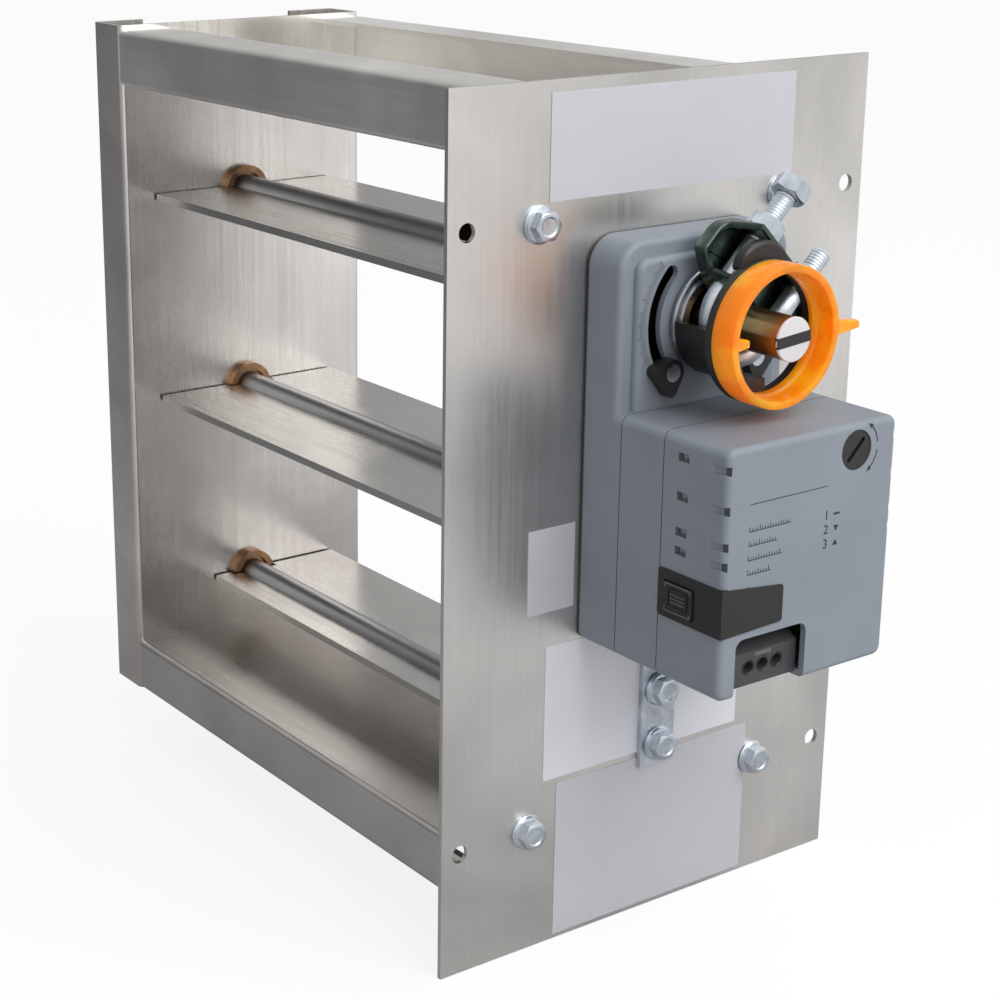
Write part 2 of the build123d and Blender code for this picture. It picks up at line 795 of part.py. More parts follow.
with BuildPart() as block_cover:
    with BuildSketch(side_plane(seam_x)):
        add(block_outline(0))
    extrude(amount=front_x - seam_x)
    fillet(block_cover.edges().group_by(Axis.X)[-1], edge_radius)
    with BuildSketch(side_plane(seam_x)):
        add(block_outline(wall))
    extrude(amount=front_x - wall - seam_x, mode=Mode.SUBTRACT)
    with BuildSketch(side_plane(front_x - wall)):
        with Locations((dial_y, dial_z)):
            Circle(dial_radius + running_fit)
    extrude(amount=wall, mode=Mode.SUBTRACT)
    with BuildSketch(bezel_side_plane):
        add(bezel_side())
    extrude(amount=wall, mode=Mode.SUBTRACT)
    with BuildSketch(side_plane(front_x - wall)):
        add(bezel_front())
    extrude(amount=wall, mode=Mode.SUBTRACT)
    with BuildSketch(side_plane(board_face)):
        add(socket_outline(socket_top, actuator_bottom - wall))
    extrude(amount=front_x - board_face, mode=Mode.SUBTRACT)
    for vent_z in vent_heights:
        for edge_y, turn in ((actuator_left, 1), (actuator_right, -1)):
            with BuildSketch(Plane.XY.offset(vent_z - vent_height / 2)):
                with BuildLine():
                    Polyline(
                        (front_x - vent_length, edge_y),
                        (front_x - vent_wall, edge_y + turn * vent_depth),
                        (front_x + wall, edge_y + turn * vent_depth),
                        (front_x + wall, edge_y - turn * wall),
                        (front_x - vent_length, edge_y - turn * wall),
                        close=True,
                    )
                make_face()
            extrude(amount=vent_height, mode=Mode.SUBTRACT)
            with BuildSketch(Plane.XY.offset(vent_z - vent_height / 2)):
                with Locations((slot_vent_x, edge_y)):
                    Rectangle(slot_vent_length, 2 * slot_vent_depth)
            extrude(amount=vent_height, mode=Mode.SUBTRACT)
save(block_cover, "block_cover")

# ---------------------------------------------------------------- Release button, dial, socket, board
with BuildPart() as release_bezel:
    with BuildSketch(bezel_side_plane.offset(-bezel_proud)):
        add(bezel_side())
    extrude(amount=wall + bezel_proud)
    with BuildSketch(side_plane(front_x - wall)):
        add(bezel_front())
    extrude(amount=wall + bezel_proud)
    with BuildSketch(bezel_side_plane.offset(-bezel_proud)):
        add(button_outline(part_gap))
    extrude(amount=wall + bezel_proud, mode=Mode.SUBTRACT)
save(release_bezel, "release_bezel")

with BuildPart() as release_button:
    with BuildSketch(bezel_side_plane.offset(-bezel_proud - button_proud)):
        add(button_outline(0))
    extrude(amount=button_proud + bezel_proud + wall + part_gap)
    with BuildSketch(bezel_side_plane.offset(wall + part_gap)):
        add(button_outline(button_flange))
    extrude(amount=button_flange_thickness)
    with BuildSketch(bezel_side_plane.offset(wall + part_gap + button_flange_thickness)):
        add(button_outline(-2 * button_flange))
    extrude(amount=button_stem)
save(release_button, "release_button")

with BuildPart() as circuit_board:
    with BuildSketch(side_plane(board_x)):
        add(block_outline(wall))
        with Locations((inner_left, (button_top + button_bottom) / 2)):
            Rectangle(2 * board_notch, board_notch_height, mode=Mode.SUBTRACT)
    extrude(amount=board_thickness)
    with BuildSketch(side_plane(board_face)):
        with Locations((dial_y, dial_z)):
            Rectangle(switch_width, switch_width)
    extrude(amount=switch_height)
    with BuildSketch(side_plane(board_face)):
        with Locations((actuator_middle_y, (dial_z + bezel_top) / 2)):
            with GridLocations(capacitor_pitch, capacitor_pitch, 2, 1):
                Circle(capacitor_radius)
    extrude(amount=capacitor_height)
save(circuit_board, "circuit_board")

with BuildPart() as direction_dial:
    with BuildSketch(side_plane(front_x - dial_height)):
        with Locations((dial_y, dial_z)):
            Circle(dial_radius)
    extrude(amount=dial_height - dial_sunk)
    with BuildSketch(side_plane(board_face + switch_height + part_gap)):
        with Locations((dial_y, dial_z)):
            Circle(dial_stem_radius)
    extrude(amount=front_x - dial_height - board_face - switch_height - part_gap)
    with BuildSketch(Plane(origin=(front_x - dial_sunk, dial_y, dial_z), x_dir=(0, 1, 1), z_dir=(1, 0, 0))):
        SlotOverall(dial_slot_length, dial_slot_width)
    extrude(amount=-dial_slot_depth, mode=Mode.SUBTRACT)
save(direction_dial, "direction_dial")

with BuildPart() as terminal_socket:
    with BuildSketch(Plane.XZ.offset(-socket_left)):
        with BuildLine():
            Polyline(
                (board_face, actuator_bottom + socket_step),
                (front_x - socket_front_drop, actuator_bottom + socket_step),
                (front_x - socket_front_drop, socket_hole_z + socket_brow),
                (front_x - 2 * socket_front_drop, socket_hole_z + 1.5 * socket_brow),
                (board_face, socket_hole_z + 1.5 * socket_brow),
                close=True,
            )
        make_face()
    extrude(amount=socket_left - socket_right)
    with BuildSketch(side_plane(front_x - socket_front_drop)):
        with Locations((socket_hole_y, socket_hole_z)):
            with GridLocations(socket_pitch, 1, 3, 1):
                Circle(socket_hole_radius)
    extrude(amount=-socket_hole_depth, mode=Mode.SUBTRACT)
save(terminal_socket, "terminal_socket")

# ---------------------------------------------------------------- Motor and gear train
def gear_profile(teeth, turn):
    """Spur gear outline about the local origin; a tooth points at turn degrees."""
    pitch_radius = gear_module * teeth / 2
    root = pitch_radius - tooth_depth * gear_module
    tip = pitch_radius + tooth_height * gear_module
    half = tooth_width * pi * gear_module / 2
    with BuildSketch() as gear:
        Circle(root)
        with PolarLocations(0, teeth, start_angle=turn):
            with BuildLine():
                Polyline(
                    (root - gear_module / 4, half + tooth_slope * tooth_depth * gear_module),
                    (pitch_radius, half),
                    (tip, half - tooth_slope * tooth_height * gear_module),
                    (tip, -half + tooth_slope * tooth_height * gear_module),
                    (pitch_radius, -half),
                    (root - gear_module / 4, -half - tooth_slope * tooth_depth * gear_module),
                    close=True,
                )
            make_face()
    return gear.sketch


def gap_down(teeth):
    """The turn that points a tooth gap straight down, at the next gear's upright tooth."""
    return 180 / teeth - 90


with BuildPart() as output_gear:
    with BuildSketch(spindle_plane.offset(low_layer_x)):
        add(gear_profile(output_teeth, gap_down(output_teeth)))
    extrude(amount=low_layer_thickness)
    with BuildSketch(spindle_plane.offset(plate_face + hub_start)):
        Circle(hub_radius)
    extrude(amount=hub_top - plate_face - hub_start)
    with BuildSketch(spindle_plane.offset(plate_face + hub_start)):
        Circle(hub_bore)
    extrude(amount=hub_top - plate_face - hub_start, mode=Mode.SUBTRACT)
save(output_gear, "output_gear")

train = (
    ("second_gear", second_axle_z, second_pinion_teeth, 90, second_wheel_teeth, gap_down(second_wheel_teeth)),
    ("first_gear", first_axle_z, first_wheel_teeth, gap_down(first_wheel_teeth), first_pinion_teeth, 90),
)
for name, axle_z, low_teeth, low_turn, high_teeth, high_turn in train:
    train_plane = axle_plane(axle_z)
    with BuildPart() as gear:
        with BuildSketch(train_plane.offset(low_layer_x)):
            add(gear_profile(low_teeth, low_turn))
        extrude(amount=low_layer_thickness)
        with BuildSketch(train_plane.offset(low_layer_x + low_layer_thickness)):
            Circle(2 * axle_radius)
        extrude(amount=high_layer - low_layer - low_layer_thickness)
        with BuildSketch(train_plane.offset(high_layer_x)):
            add(gear_profile(high_teeth, high_turn))
        extrude(amount=high_layer_thickness)
        with BuildSketch(train_plane.offset(low_layer_x)):
            Circle(axle_radius + running_fit)
        extrude(amount=high_layer + high_layer_thickness - low_layer, mode=Mode.SUBTRACT)
    save(gear, name)

with BuildPart() as motor_pinion:
    with BuildSketch(motor_plane.offset(low_layer_x)):
        add(gear_profile(motor_pinion_teeth, 90))
    extrude(amount=low_layer_thickness)
    with BuildSketch(motor_plane.offset(low_layer_x + low_layer_thickness)):
        Circle(axle_radius)
    extrude(amount=case_front + wall - low_layer_x - low_layer_thickness)
save(motor_pinion, "motor_pinion")

with BuildPart() as gear_axles:
    with BuildSketch(side_plane(base_front)):
        with Locations((spindle_y, second_axle_z), (spindle_y, first_axle_z)):
            Circle(axle_radius)
    extrude(amount=ceiling_x - base_front)
save(gear_axles, "gear_axles")

with BuildPart() as motor:
    with BuildSketch(motor_plane.offset(case_front)):
        Circle(motor_radius)
    extrude(amount=motor_length)
    fillet(motor.edges().group_by(Axis.X)[-1], edge_radius)
    with BuildSketch(motor_plane.offset(ceiling_x)):
        Circle(motor_pilot_radius)
    extrude(amount=wall)
    with BuildSketch(motor_plane.offset(ceiling_x)):
        Circle(axle_radius + running_fit)
    extrude(amount=3 * wall, mode=Mode.SUBTRACT)
save(motor, "motor")

# ---------------------------------------------------------------- Spindle clamp
with BuildPart() as clamp_seat:
    with BuildSketch(spindle_plane.offset(hub_top)):
        Circle(seat_radius)
        Circle(hub_bore, mode=Mode.SUBTRACT)
    extrude(amount=seat_thickness)
    fillet(clamp_seat.edges().group_by(Axis.X)[-1].sort_by(Edge.length)[-1], seat_rim)
save(clamp_seat, "clamp_seat")

with BuildPart() as u_bolt:
    half = leg_spacing / 2
    bend_at = half - wire_radius - spindle_radius
    with BuildLine(clamp_plane.offset(clamp_x)) as route:
        Line((long_leg, half), (bend_at, half))
        CenterArc((bend_at, 0), half, 90, 180)
        Line((bend_at, -half), (short_leg, -half))
    with BuildSketch(Plane(origin=route.line @ 0, z_dir=route.line % 0)):
        Circle(wire_radius)
    sweep()
save(u_bolt, "u_bolt")


def jaw_outline():
    """Outline of the clamp's jaw in the clamp plane: a vee on the spindle, wide ears, a flat for the nuts."""
    vee = spindle_radius * sqrt(2)
    flank = (
        (vee - jaw_vee_depth, jaw_vee_depth),
        (jaw_flank, jaw_flank_width),
        (jaw_ear_start, jaw_half_width),
        (jaw_ear_end, jaw_half_width),
        (jaw_top, jaw_nut_flat),
    )
    with BuildSketch() as outline:
        with BuildLine():
            Polyline((vee, 0), *flank, *[(d, -n) for d, n in reversed(flank)], close=True)
        make_face()
    return outline.sketch


with BuildPart() as clamp_jaw:
    with BuildSketch(clamp_plane.offset(jaw_low)):
        add(jaw_outline())
    extrude(amount=jaw_width)
    with BuildSketch(clamp_plane.offset(jaw_low + jaw_wall)):
        add(offset(jaw_outline(), amount=-jaw_wall, kind=Kind.INTERSECTION, mode=Mode.PRIVATE))
        with Locations((jaw_flank, 0)):
            Rectangle(jaw_top, 2 * jaw_flank_width)
    extrude(amount=jaw_width - 2 * jaw_wall, mode=Mode.SUBTRACT)
    with BuildSketch(leg_plane.offset(jaw_top)):
        with GridLocations(leg_spacing, 1, 2, 1):
            Circle(wire_radius + running_fit)
    extrude(amount=-2 * jaw_wall, mode=Mode.SUBTRACT)
save(clamp_jaw, "clamp_jaw")

with BuildPart() as clamp_nuts:
    for seat, places in ((jaw_top, (-leg_spacing / 2, leg_spacing / 2)), (end_nut_at, (leg_spacing / 2,))):
        with BuildSketch(leg_plane.offset(seat)):
            with Locations(*[(place, 0) for place in places]):
                RegularPolygon(clamp_nut_flats / 2, 6, major_radius=False)
                Circle(wire_radius, mode=Mode.SUBTRACT)
        extrude(amount=clamp_nut_height)
save(clamp_nuts, "clamp_nuts")

# ---------------------------------------------------------------- Indicator and end stops
def sector(inner, outer):
    """Ring sector about the clamp's axis, on the side away from the nuts."""
    with BuildSketch() as piece:
        Circle(outer)
        Circle(inner, mode=Mode.SUBTRACT)
        with BuildLine():
            Polyline(
                (0, 0),
                (-2 * outer, 2 * outer * tan(radians(carrier_half_angle))),
                (-2 * outer, -2 * outer * tan(radians(carrier_half_angle))),
                close=True,
            )
        make_face(mode=Mode.INTERSECT)
    return piece.sketch


with BuildPart() as indicator_carrier:
    with BuildSketch(clamp_plane.offset(seat_top)):
        add(sector(carrier_sleeve_inner, carrier_sleeve_outer))
    extrude(amount=ring_x - seat_top)
    with BuildSketch(clamp_plane.offset(ring_x - carrier_thickness)):
        Circle(ring_radius)
        Circle(carrier_inner, mode=Mode.SUBTRACT)
        add(sector(carrier_sleeve_inner, ring_radius))
    extrude(amount=carrier_thickness)
save(indicator_carrier, "indicator_carrier")

with BuildPart() as indicator_ring:
    with BuildSketch(spindle_plane.offset(ring_x)):
        Circle(ring_radius)
        Circle(ring_inner, mode=Mode.SUBTRACT)
    extrude(amount=ring_height)
    with BuildSketch(spindle_plane.offset(ring_x + ring_height - pointer_depth)):
        with BuildLine():
            Polyline(
                (ring_inner + 1, pointer_width / 2),
                (pointer_reach, pointer_tip / 2),
                (pointer_reach, -pointer_tip / 2),
                (ring_inner + 1, -pointer_width / 2),
                close=True,
            )
        make_face()
        with BuildLine():
            Polyline(
                (-ring_inner - 1, pointer_width / 2),
                (-pointer_inner, pointer_tip / 2),
                (-pointer_inner, -pointer_tip / 2),
                (-ring_inner - 1, -pointer_width / 2),
                close=True,
            )
        make_face()
    extrude(amount=pointer_depth)
save(indicator_ring, "indicator_ring")

for side, angle in (("left", stop_slot_bottom), ("right", 180 - stop_slot_bottom)):
    stop_plane = Plane(
        origin=(0, spindle_y, spindle_z),
        x_dir=(0, cos(radians(angle)), sin(radians(angle))),
        z_dir=(1, 0, 0),
    )
    horn_y = stop_horn_reach * sin(radians(stop_horn_angle))
    horn_x = stop_horn_reach * cos(radians(stop_horn_angle))

    with BuildPart() as end_stop:
        with BuildSketch(stop_plane.offset(stop_low)):
            with BuildLine():
                CenterArc((stop_slot_radius, 0), stop_radius, 0, 360)
                CenterArc((horn_x, horn_y), stop_horn_radius, 0, 360)
                CenterArc((horn_x, -horn_y), stop_horn_radius, 0, 360)
            make_hull()
        extrude(amount=stop_thickness)
        with BuildSketch(stop_plane.offset(ceiling_x - stop_gap)):
            with Locations((stop_slot_radius, 0)):
                Circle(stop_key_radius)
        extrude(amount=stop_low - ceiling_x + stop_gap)
        with BuildSketch(stop_plane.offset(ceiling_x - stop_gap)):
            with Locations((stop_slot_radius, 0)):
                Circle(stop_foot_radius)
        extrude(amount=-stop_foot_thickness)
        with Locations(stop_plane.offset(stop_high) * Location((stop_slot_radius, 0, 0))):
            CounterBoreHole(stop_screw_radius, stop_screw_head, stop_screw_head_height)
    save(end_stop, f"end_stop_{side}")

    with BuildPart() as stop_screw:
        with BuildSketch(stop_plane.offset(stop_high)):
            with Locations((stop_slot_radius, 0)):
                Circle(stop_screw_head)
        extrude(amount=-stop_screw_head_height)
        with BuildSketch(stop_plane.offset(stop_high - stop_screw_head_height)):
            with Locations((stop_slot_radius, 0)):
                Circle(stop_screw_radius)
        extrude(amount=ceiling_x - stop_gap - stop_foot_thickness - stop_high + stop_screw_head_height)
    save(stop_screw, f"stop_screw_{side}")
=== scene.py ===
"""Looks of a volume control damper: a folded aluminium frame with three blades and a rotary actuator.

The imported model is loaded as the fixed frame, in metres: the motor plate's back face is at X = 0, the
actuator stands out along +X, and +Z is up. Added pieces are drawn in millimetres and scaled once.
"""

import json
from math import cos, pi, radians, sin, tan

import bmesh
import bpy
from bpy.props import FloatProperty, FloatVectorProperty, IntProperty, PointerProperty
from mathutils import Euler, Matrix, Vector


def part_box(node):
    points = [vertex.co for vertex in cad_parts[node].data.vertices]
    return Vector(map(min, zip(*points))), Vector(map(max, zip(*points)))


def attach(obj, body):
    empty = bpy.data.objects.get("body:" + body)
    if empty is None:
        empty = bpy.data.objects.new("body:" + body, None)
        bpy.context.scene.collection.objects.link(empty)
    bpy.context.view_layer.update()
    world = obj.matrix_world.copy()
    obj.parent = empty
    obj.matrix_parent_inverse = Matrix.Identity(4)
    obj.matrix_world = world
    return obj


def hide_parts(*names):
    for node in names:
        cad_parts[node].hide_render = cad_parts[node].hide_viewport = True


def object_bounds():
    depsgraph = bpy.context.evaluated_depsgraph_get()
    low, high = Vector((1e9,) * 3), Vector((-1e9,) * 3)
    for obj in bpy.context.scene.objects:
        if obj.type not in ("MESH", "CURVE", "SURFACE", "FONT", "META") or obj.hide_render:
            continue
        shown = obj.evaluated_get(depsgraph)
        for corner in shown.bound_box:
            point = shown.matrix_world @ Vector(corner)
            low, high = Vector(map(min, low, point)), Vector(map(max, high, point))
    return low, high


bl_info = {
    "name": "Volume control damper",
    "version": (1, 0, 0),
    "blender": (4, 5, 0),
    "location": "View3D > Sidebar > Damper",
    "description": "Dresses a volume control damper: finishes, fasteners, clamp, indicator and studio",
    "category": "Object",
}

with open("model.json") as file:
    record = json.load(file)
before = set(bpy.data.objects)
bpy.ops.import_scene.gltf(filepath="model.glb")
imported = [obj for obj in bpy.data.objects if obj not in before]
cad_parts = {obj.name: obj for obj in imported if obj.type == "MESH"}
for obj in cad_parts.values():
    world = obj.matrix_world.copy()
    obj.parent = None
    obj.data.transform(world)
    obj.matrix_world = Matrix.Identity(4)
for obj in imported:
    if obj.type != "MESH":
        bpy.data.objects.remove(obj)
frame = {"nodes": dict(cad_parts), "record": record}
cad_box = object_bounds()
nodes = frame["nodes"]
slot_of = {part["node"]: part["material_slot"] for part in frame["record"]["subparts"]}

MM = 0.001


def box(node):
    """The lowest and highest corners of a CAD node, in millimetres."""
    return [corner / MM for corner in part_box(node)]


plate_face = box("motor_plate")[1].x
spindle_low, spindle_high = box("jackshaft")
spindle_y = (spindle_low.y + spindle_high.y) / 2
spindle_z = (spindle_low.z + spindle_high.z) / 2
spindle_radius = (spindle_high.y - spindle_low.y) / 2
block_front = box("block_cover")[1].x
block_low, block_high = box("block_body")


# ---- Settings
def colour_setting(name, description, default):
    """A colour that a user can change."""
    return FloatVectorProperty(
        name=name, description=description, subtype="COLOR", size=3, min=0, max=1, default=default)


def length_setting(name, description, millimetres):
    """A length that a user can change, given in millimetres."""
    return FloatProperty(name=name, description=description, unit="LENGTH", default=millimetres * MM)


class DamperFinish(bpy.types.PropertyGroup):
    """Colours of the damper's finishes."""

    aluminium: colour_setting("Aluminium", "Tint of the mill finish sheet", (0.76, 0.74, 0.715))
    steel: colour_setting("Steel", "Tint of the blade shafts", (0.44, 0.45, 0.47))
    zinc: colour_setting("Bright zinc", "Tint of the bolts and nuts", (0.66, 0.72, 0.78))
    dark_zinc: colour_setting("Dark zinc", "Tint of the clamp's stamped jaw", (0.085, 0.12, 0.102))
    bronze: colour_setting("Bronze", "Tint of the sintered bushings", (0.50, 0.29, 0.165))
    brass: colour_setting("Brass", "Tint of the jackshaft", (0.62, 0.46, 0.22))
    housing: colour_setting("Housing", "Colour of the actuator's moulded housing", (0.225, 0.255, 0.295))
    ring: colour_setting("Indicator", "Colour of the clear indicator ring", (1.0, 0.33, 0.006))
    label: colour_setting("Label", "Colour of the blank label film", (0.52, 0.52, 0.56))


class DamperFastening(bpy.types.PropertyGroup):
    """Sizes of the bolts, the clamp and the marks."""

    bolt_flats: length_setting("Bolt flats", "Across the flats of the plate's bolts", 8)
    bolt_flange: length_setting("Bolt flange", "Radius of a bolt head's flange", 5.6)
    bolt_height: length_setting("Bolt head", "Height of a bolt's head with its flange", 4.8)
    bolt_radius: length_setting("Bolt shank", "Radius of a bolt's shank", 2.5)
    wire_radius: length_setting("U-bolt wire", "Radius of the U-bolt's wire", 3)
    leg_spacing: length_setting("Leg spacing", "Between the U-bolt's legs", 24.2)
    long_leg: length_setting("Long leg", "From the spindle to the long leg's end", 43)
    short_leg: length_setting("Short leg", "From the spindle to the short leg's end", 36)
    thread_start: length_setting("Thread start", "From the spindle to the threads' start", 20)
    thread_pitch: length_setting("Thread pitch", "Pitch of the U-bolt's threads", 1)
    nut_flats: length_setting("Nut flats", "Across the flats of the clamp's nuts", 10)
    nut_height: length_setting("Nut height", "Height of a clamp nut", 5)
    clamp_angle: FloatProperty(
        name="Clamp angle", description="Of the U-bolt's legs above level",
        subtype="ANGLE", default=radians(45))
    print_height: length_setting("Print height", "How far the tick scales stand proud", 0.06)
    scale_ticks: IntProperty(
        name="Scale ticks", description="Ticks beside each end stop slot", default=40, min=5, max=90)


class DamperStudio(bpy.types.PropertyGroup):
    """Studio light and backdrop."""

    floor_tone: FloatProperty(
        name="Floor tone", description="Brightness of the pale floor", default=0.92, min=0, max=1)
    key_power: FloatProperty(
        name="Key light", description="Power of the large soft lamp", unit="POWER", default=15.0, min=0)
    fill_power: FloatProperty(
        name="Fill light", description="Power of the open side's lamp", unit="POWER", default=1.2, min=0)


# ---- Shader groups
class Wiring:
    """A shader tree with short calls for adding nodes and joining sockets."""

    def __init__(self, tree):
        self.tree = tree

    def fill(self, node, values):
        """Feeds a node's inputs, by label or number, with sockets or plain values."""
        for label, value in values.items():
            if isinstance(value, bpy.types.NodeSocket):
                self.tree.links.new(value, node.inputs[label])
            else:
                node.inputs[label].default_value = value

    def add(self, kind, inputs=None, **values):
        """A node with its own settings and inputs."""
        node = self.tree.nodes.new(kind)
        for key, value in values.items():
            setattr(node, key, value)
        self.fill(node, inputs or {})
        return node

    def math(self, operation, first, second):
        """A sum, product or other result of two sockets or numbers."""
        return self.add("ShaderNodeMath", {0: first, 1: second}, operation=operation).outputs[0]

    def vector(self, operation, first, second):
        """A Vector Math node for two vectors."""
        return self.add("ShaderNodeVectorMath", {0: first, 1: second}, operation=operation)

    def dot(self, first, second):
        """The dot product of two directions."""
        return self.vector("DOT_PRODUCT", first, second).outputs["Value"]

    def object_place(self):
        """Coordinates that ride with the object."""
        return self.add("ShaderNodeTexCoord").outputs["Object"]

    def noise(self, vector, scale, detail=2.0, roughness=0.5, distortion=0.0):
        """A noise pattern."""
        shape = {"Detail": detail, "Roughness": roughness, "Distortion": distortion}
        return self.add("ShaderNodeTexNoise", {"Vector": vector, "Scale": scale, **shape}).outputs["Fac"]

    def spread(self, value, low, high, to_low=0.0, to_high=1.0):
        """The value stretched from low..high to to_low..to_high."""
        ends = {"From Min": low, "From Max": high, "To Min": to_low, "To Max": to_high}
        return self.add("ShaderNodeMapRange", {"Value": value, **ends}).outputs["Result"]

    def mix(self, factor, first, second):
        """A mix of two colours, each a socket or RGBA."""
        inputs = {0: factor, 6: first, 7: second}
        return self.add("ShaderNodeMix", inputs, data_type="RGBA").outputs[2]

    def relief(self, height, strength, distance):
        """The surface normal bent by a pattern's height."""
        inputs = {"Height": height, "Strength": strength, "Distance": distance}
        return self.add("ShaderNodeBump", inputs).outputs["Normal"]


def new_group(name, inputs, outputs):
    """An empty shader group with named float or vector inputs and float outputs."""
    tree = bpy.data.node_groups.new(name, "ShaderNodeTree")
    for label, kind, value in inputs:
        socket = tree.interface.new_socket(name=label, in_out="INPUT", socket_type=kind)
        socket.default_value = value
    for label in outputs:
        tree.interface.new_socket(name=label, in_out="OUTPUT", socket_type="NodeSocketFloat")
    wiring = Wiring(tree)
    return wiring, wiring.add("NodeGroupInput").outputs, wiring.add("NodeGroupOutput")


def place_group(wiring, name, **values):
    """A group placed in a material with its own input values."""
    inputs = {key.replace("_", " ").title(): value for key, value in values.items()}
    return wiring.add("ShaderNodeGroup", inputs, node_tree=bpy.data.node_groups[name]).outputs


def make_rolled_grain():
    """Rolling streaks, soft handling clouds and small scuffs of sheet and drawn metal."""
    wiring, given, result = new_group(
        "Rolled metal grain",
        (("Stretch", "NodeSocketVector", (900.0, 900.0, 30.0)), ("Cloud Size", "NodeSocketFloat", 22.0)),
        ("Streaks", "Clouds", "Scuffs"))
    place = wiring.object_place()
    stretched = wiring.vector("MULTIPLY", place, given["Stretch"]).outputs[0]
    streaks = wiring.noise(stretched, 1.0, detail=5.0, roughness=0.6)
    clouds = wiring.noise(place, given["Cloud Size"], detail=4.0, distortion=0.6)
    scuffs = wiring.noise(place, 420.0, roughness=0.4)
    wiring.fill(result, {
        "Streaks": wiring.spread(streaks, 0.3, 0.7),
        "Clouds": wiring.spread(clouds, 0.3, 0.72),
        "Scuffs": wiring.spread(scuffs, 0.62, 0.8),
    })


def make_moulded_grain():
    """Fine spark-eroded grain and slow tone drift of moulded plastic."""
    wiring, given, result = new_group(
        "Moulded grain",
        (("Grain Size", "NodeSocketFloat", 1900.0), ("Drift Size", "NodeSocketFloat", 35.0)),
        ("Grain", "Drift"))
    place = wiring.object_place()
    for label, source, detail in (("Grain", "Grain Size", 2.0), ("Drift", "Drift Size", 3.0)):
        pattern = wiring.noise(place, given[source], detail=detail)
        wiring.fill(result, {label: wiring.spread(pattern, 0.3, 0.7)})


def make_edge_wear_and_glow_rims():
    """Mask of handled edges, for wear and for the rims of the indicator's painted glow, where the surface
    normal turns away from its bevelled copy.
    """
    wiring, given, result = new_group(
        "Edge wear and glow rims",
        (("Width", "NodeSocketFloat", 0.0006), ("Break Up", "NodeSocketFloat", 300.0)),
        ("Wear",))
    bevel = wiring.add("ShaderNodeBevel", {"Radius": given["Width"]}, samples=4).outputs[0]
    flat = wiring.add("ShaderNodeNewGeometry").outputs["Normal"]
    edge = wiring.spread(wiring.dot(bevel, flat), 0.995, 0.9)
    broken = wiring.spread(wiring.noise(wiring.object_place(), given["Break Up"]), 0.35, 0.6)
    wiring.fill(result, {"Wear": wiring.math("MULTIPLY", edge, broken)})


# ---- Materials
materials = {}


def new_material(name):
    """A material with a plain Principled BSDF, ready for wiring."""
    material = bpy.data.materials.new(name)
    material.use_nodes = True
    material.node_tree.nodes.clear()
    wiring = Wiring(material.node_tree)
    shader = wiring.add("ShaderNodeBsdfPrincipled")
    wiring.add("ShaderNodeOutputMaterial", {"Surface": shader.outputs[0]})
    materials[name] = material
    return wiring, shader


def scaled(colour, factor):
    """A colour with its brightness scaled."""
    return tuple(min(1.0, channel * factor) for channel in colour)


def solid(colour, factor=1.0):
    """A colour with its brightness scaled, as RGBA."""
    return (*scaled(colour, factor), 1.0)


def metal(name, colour, roughness, stretch, cloud_size=22.0, contrast=0.12, bump=0.25, scuff=0.06):
    """Metal with rolling streaks in its tone, its roughness and its relief."""
    wiring, shader = new_material(name)
    grain = place_group(wiring, "Rolled metal grain", stretch=stretch, cloud_size=cloud_size)
    streaks, clouds = grain["Streaks"], grain["Clouds"]
    tone = wiring.mix(clouds, solid(colour, 1 - contrast), solid(colour, 1 + contrast / 2))
    streaked = wiring.mix(wiring.math("MULTIPLY", streaks, 0.5 * contrast), tone, solid(colour, 0.35))
    scuffed = wiring.mix(wiring.math("MULTIPLY", grain["Scuffs"], scuff), streaked, solid(colour, 0.45))
    varied = wiring.math("MULTIPLY", streaks, 0.10)
    clouded = wiring.math("MULTIPLY", clouds, 0.08)
    wiring.fill(shader, {
        "Base Color": scuffed,
        "Metallic": 1.0,
        "Roughness": wiring.math("ADD", wiring.math("ADD", varied, clouded), roughness),
        "Normal": wiring.relief(streaks, bump, 0.02 * MM),
    })


def plastic(name, colour, roughness, grain_size=1900.0, bump=0.35, drift=0.05, wear=0.25):
    """Moulded plastic with fine grain, tone drift and paler handled edges."""
    wiring, shader = new_material(name)
    grain = place_group(wiring, "Moulded grain", grain_size=grain_size)
    edges = place_group(wiring, "Edge wear and glow rims")["Wear"]
    tone = wiring.mix(grain["Drift"], solid(colour, 1 - drift), solid(colour, 1 + drift))
    wiring.fill(shader, {
        "Base Color": wiring.mix(wiring.math("MULTIPLY", edges, wear), tone, solid(colour, 1.7)),
        "Metallic": 0.0,
        "Roughness": wiring.math("ADD", wiring.math("MULTIPLY", grain["Grain"], 0.12), roughness),
        "Normal": wiring.relief(grain["Grain"], bump, 0.03 * MM),
    })
    return wiring, shader


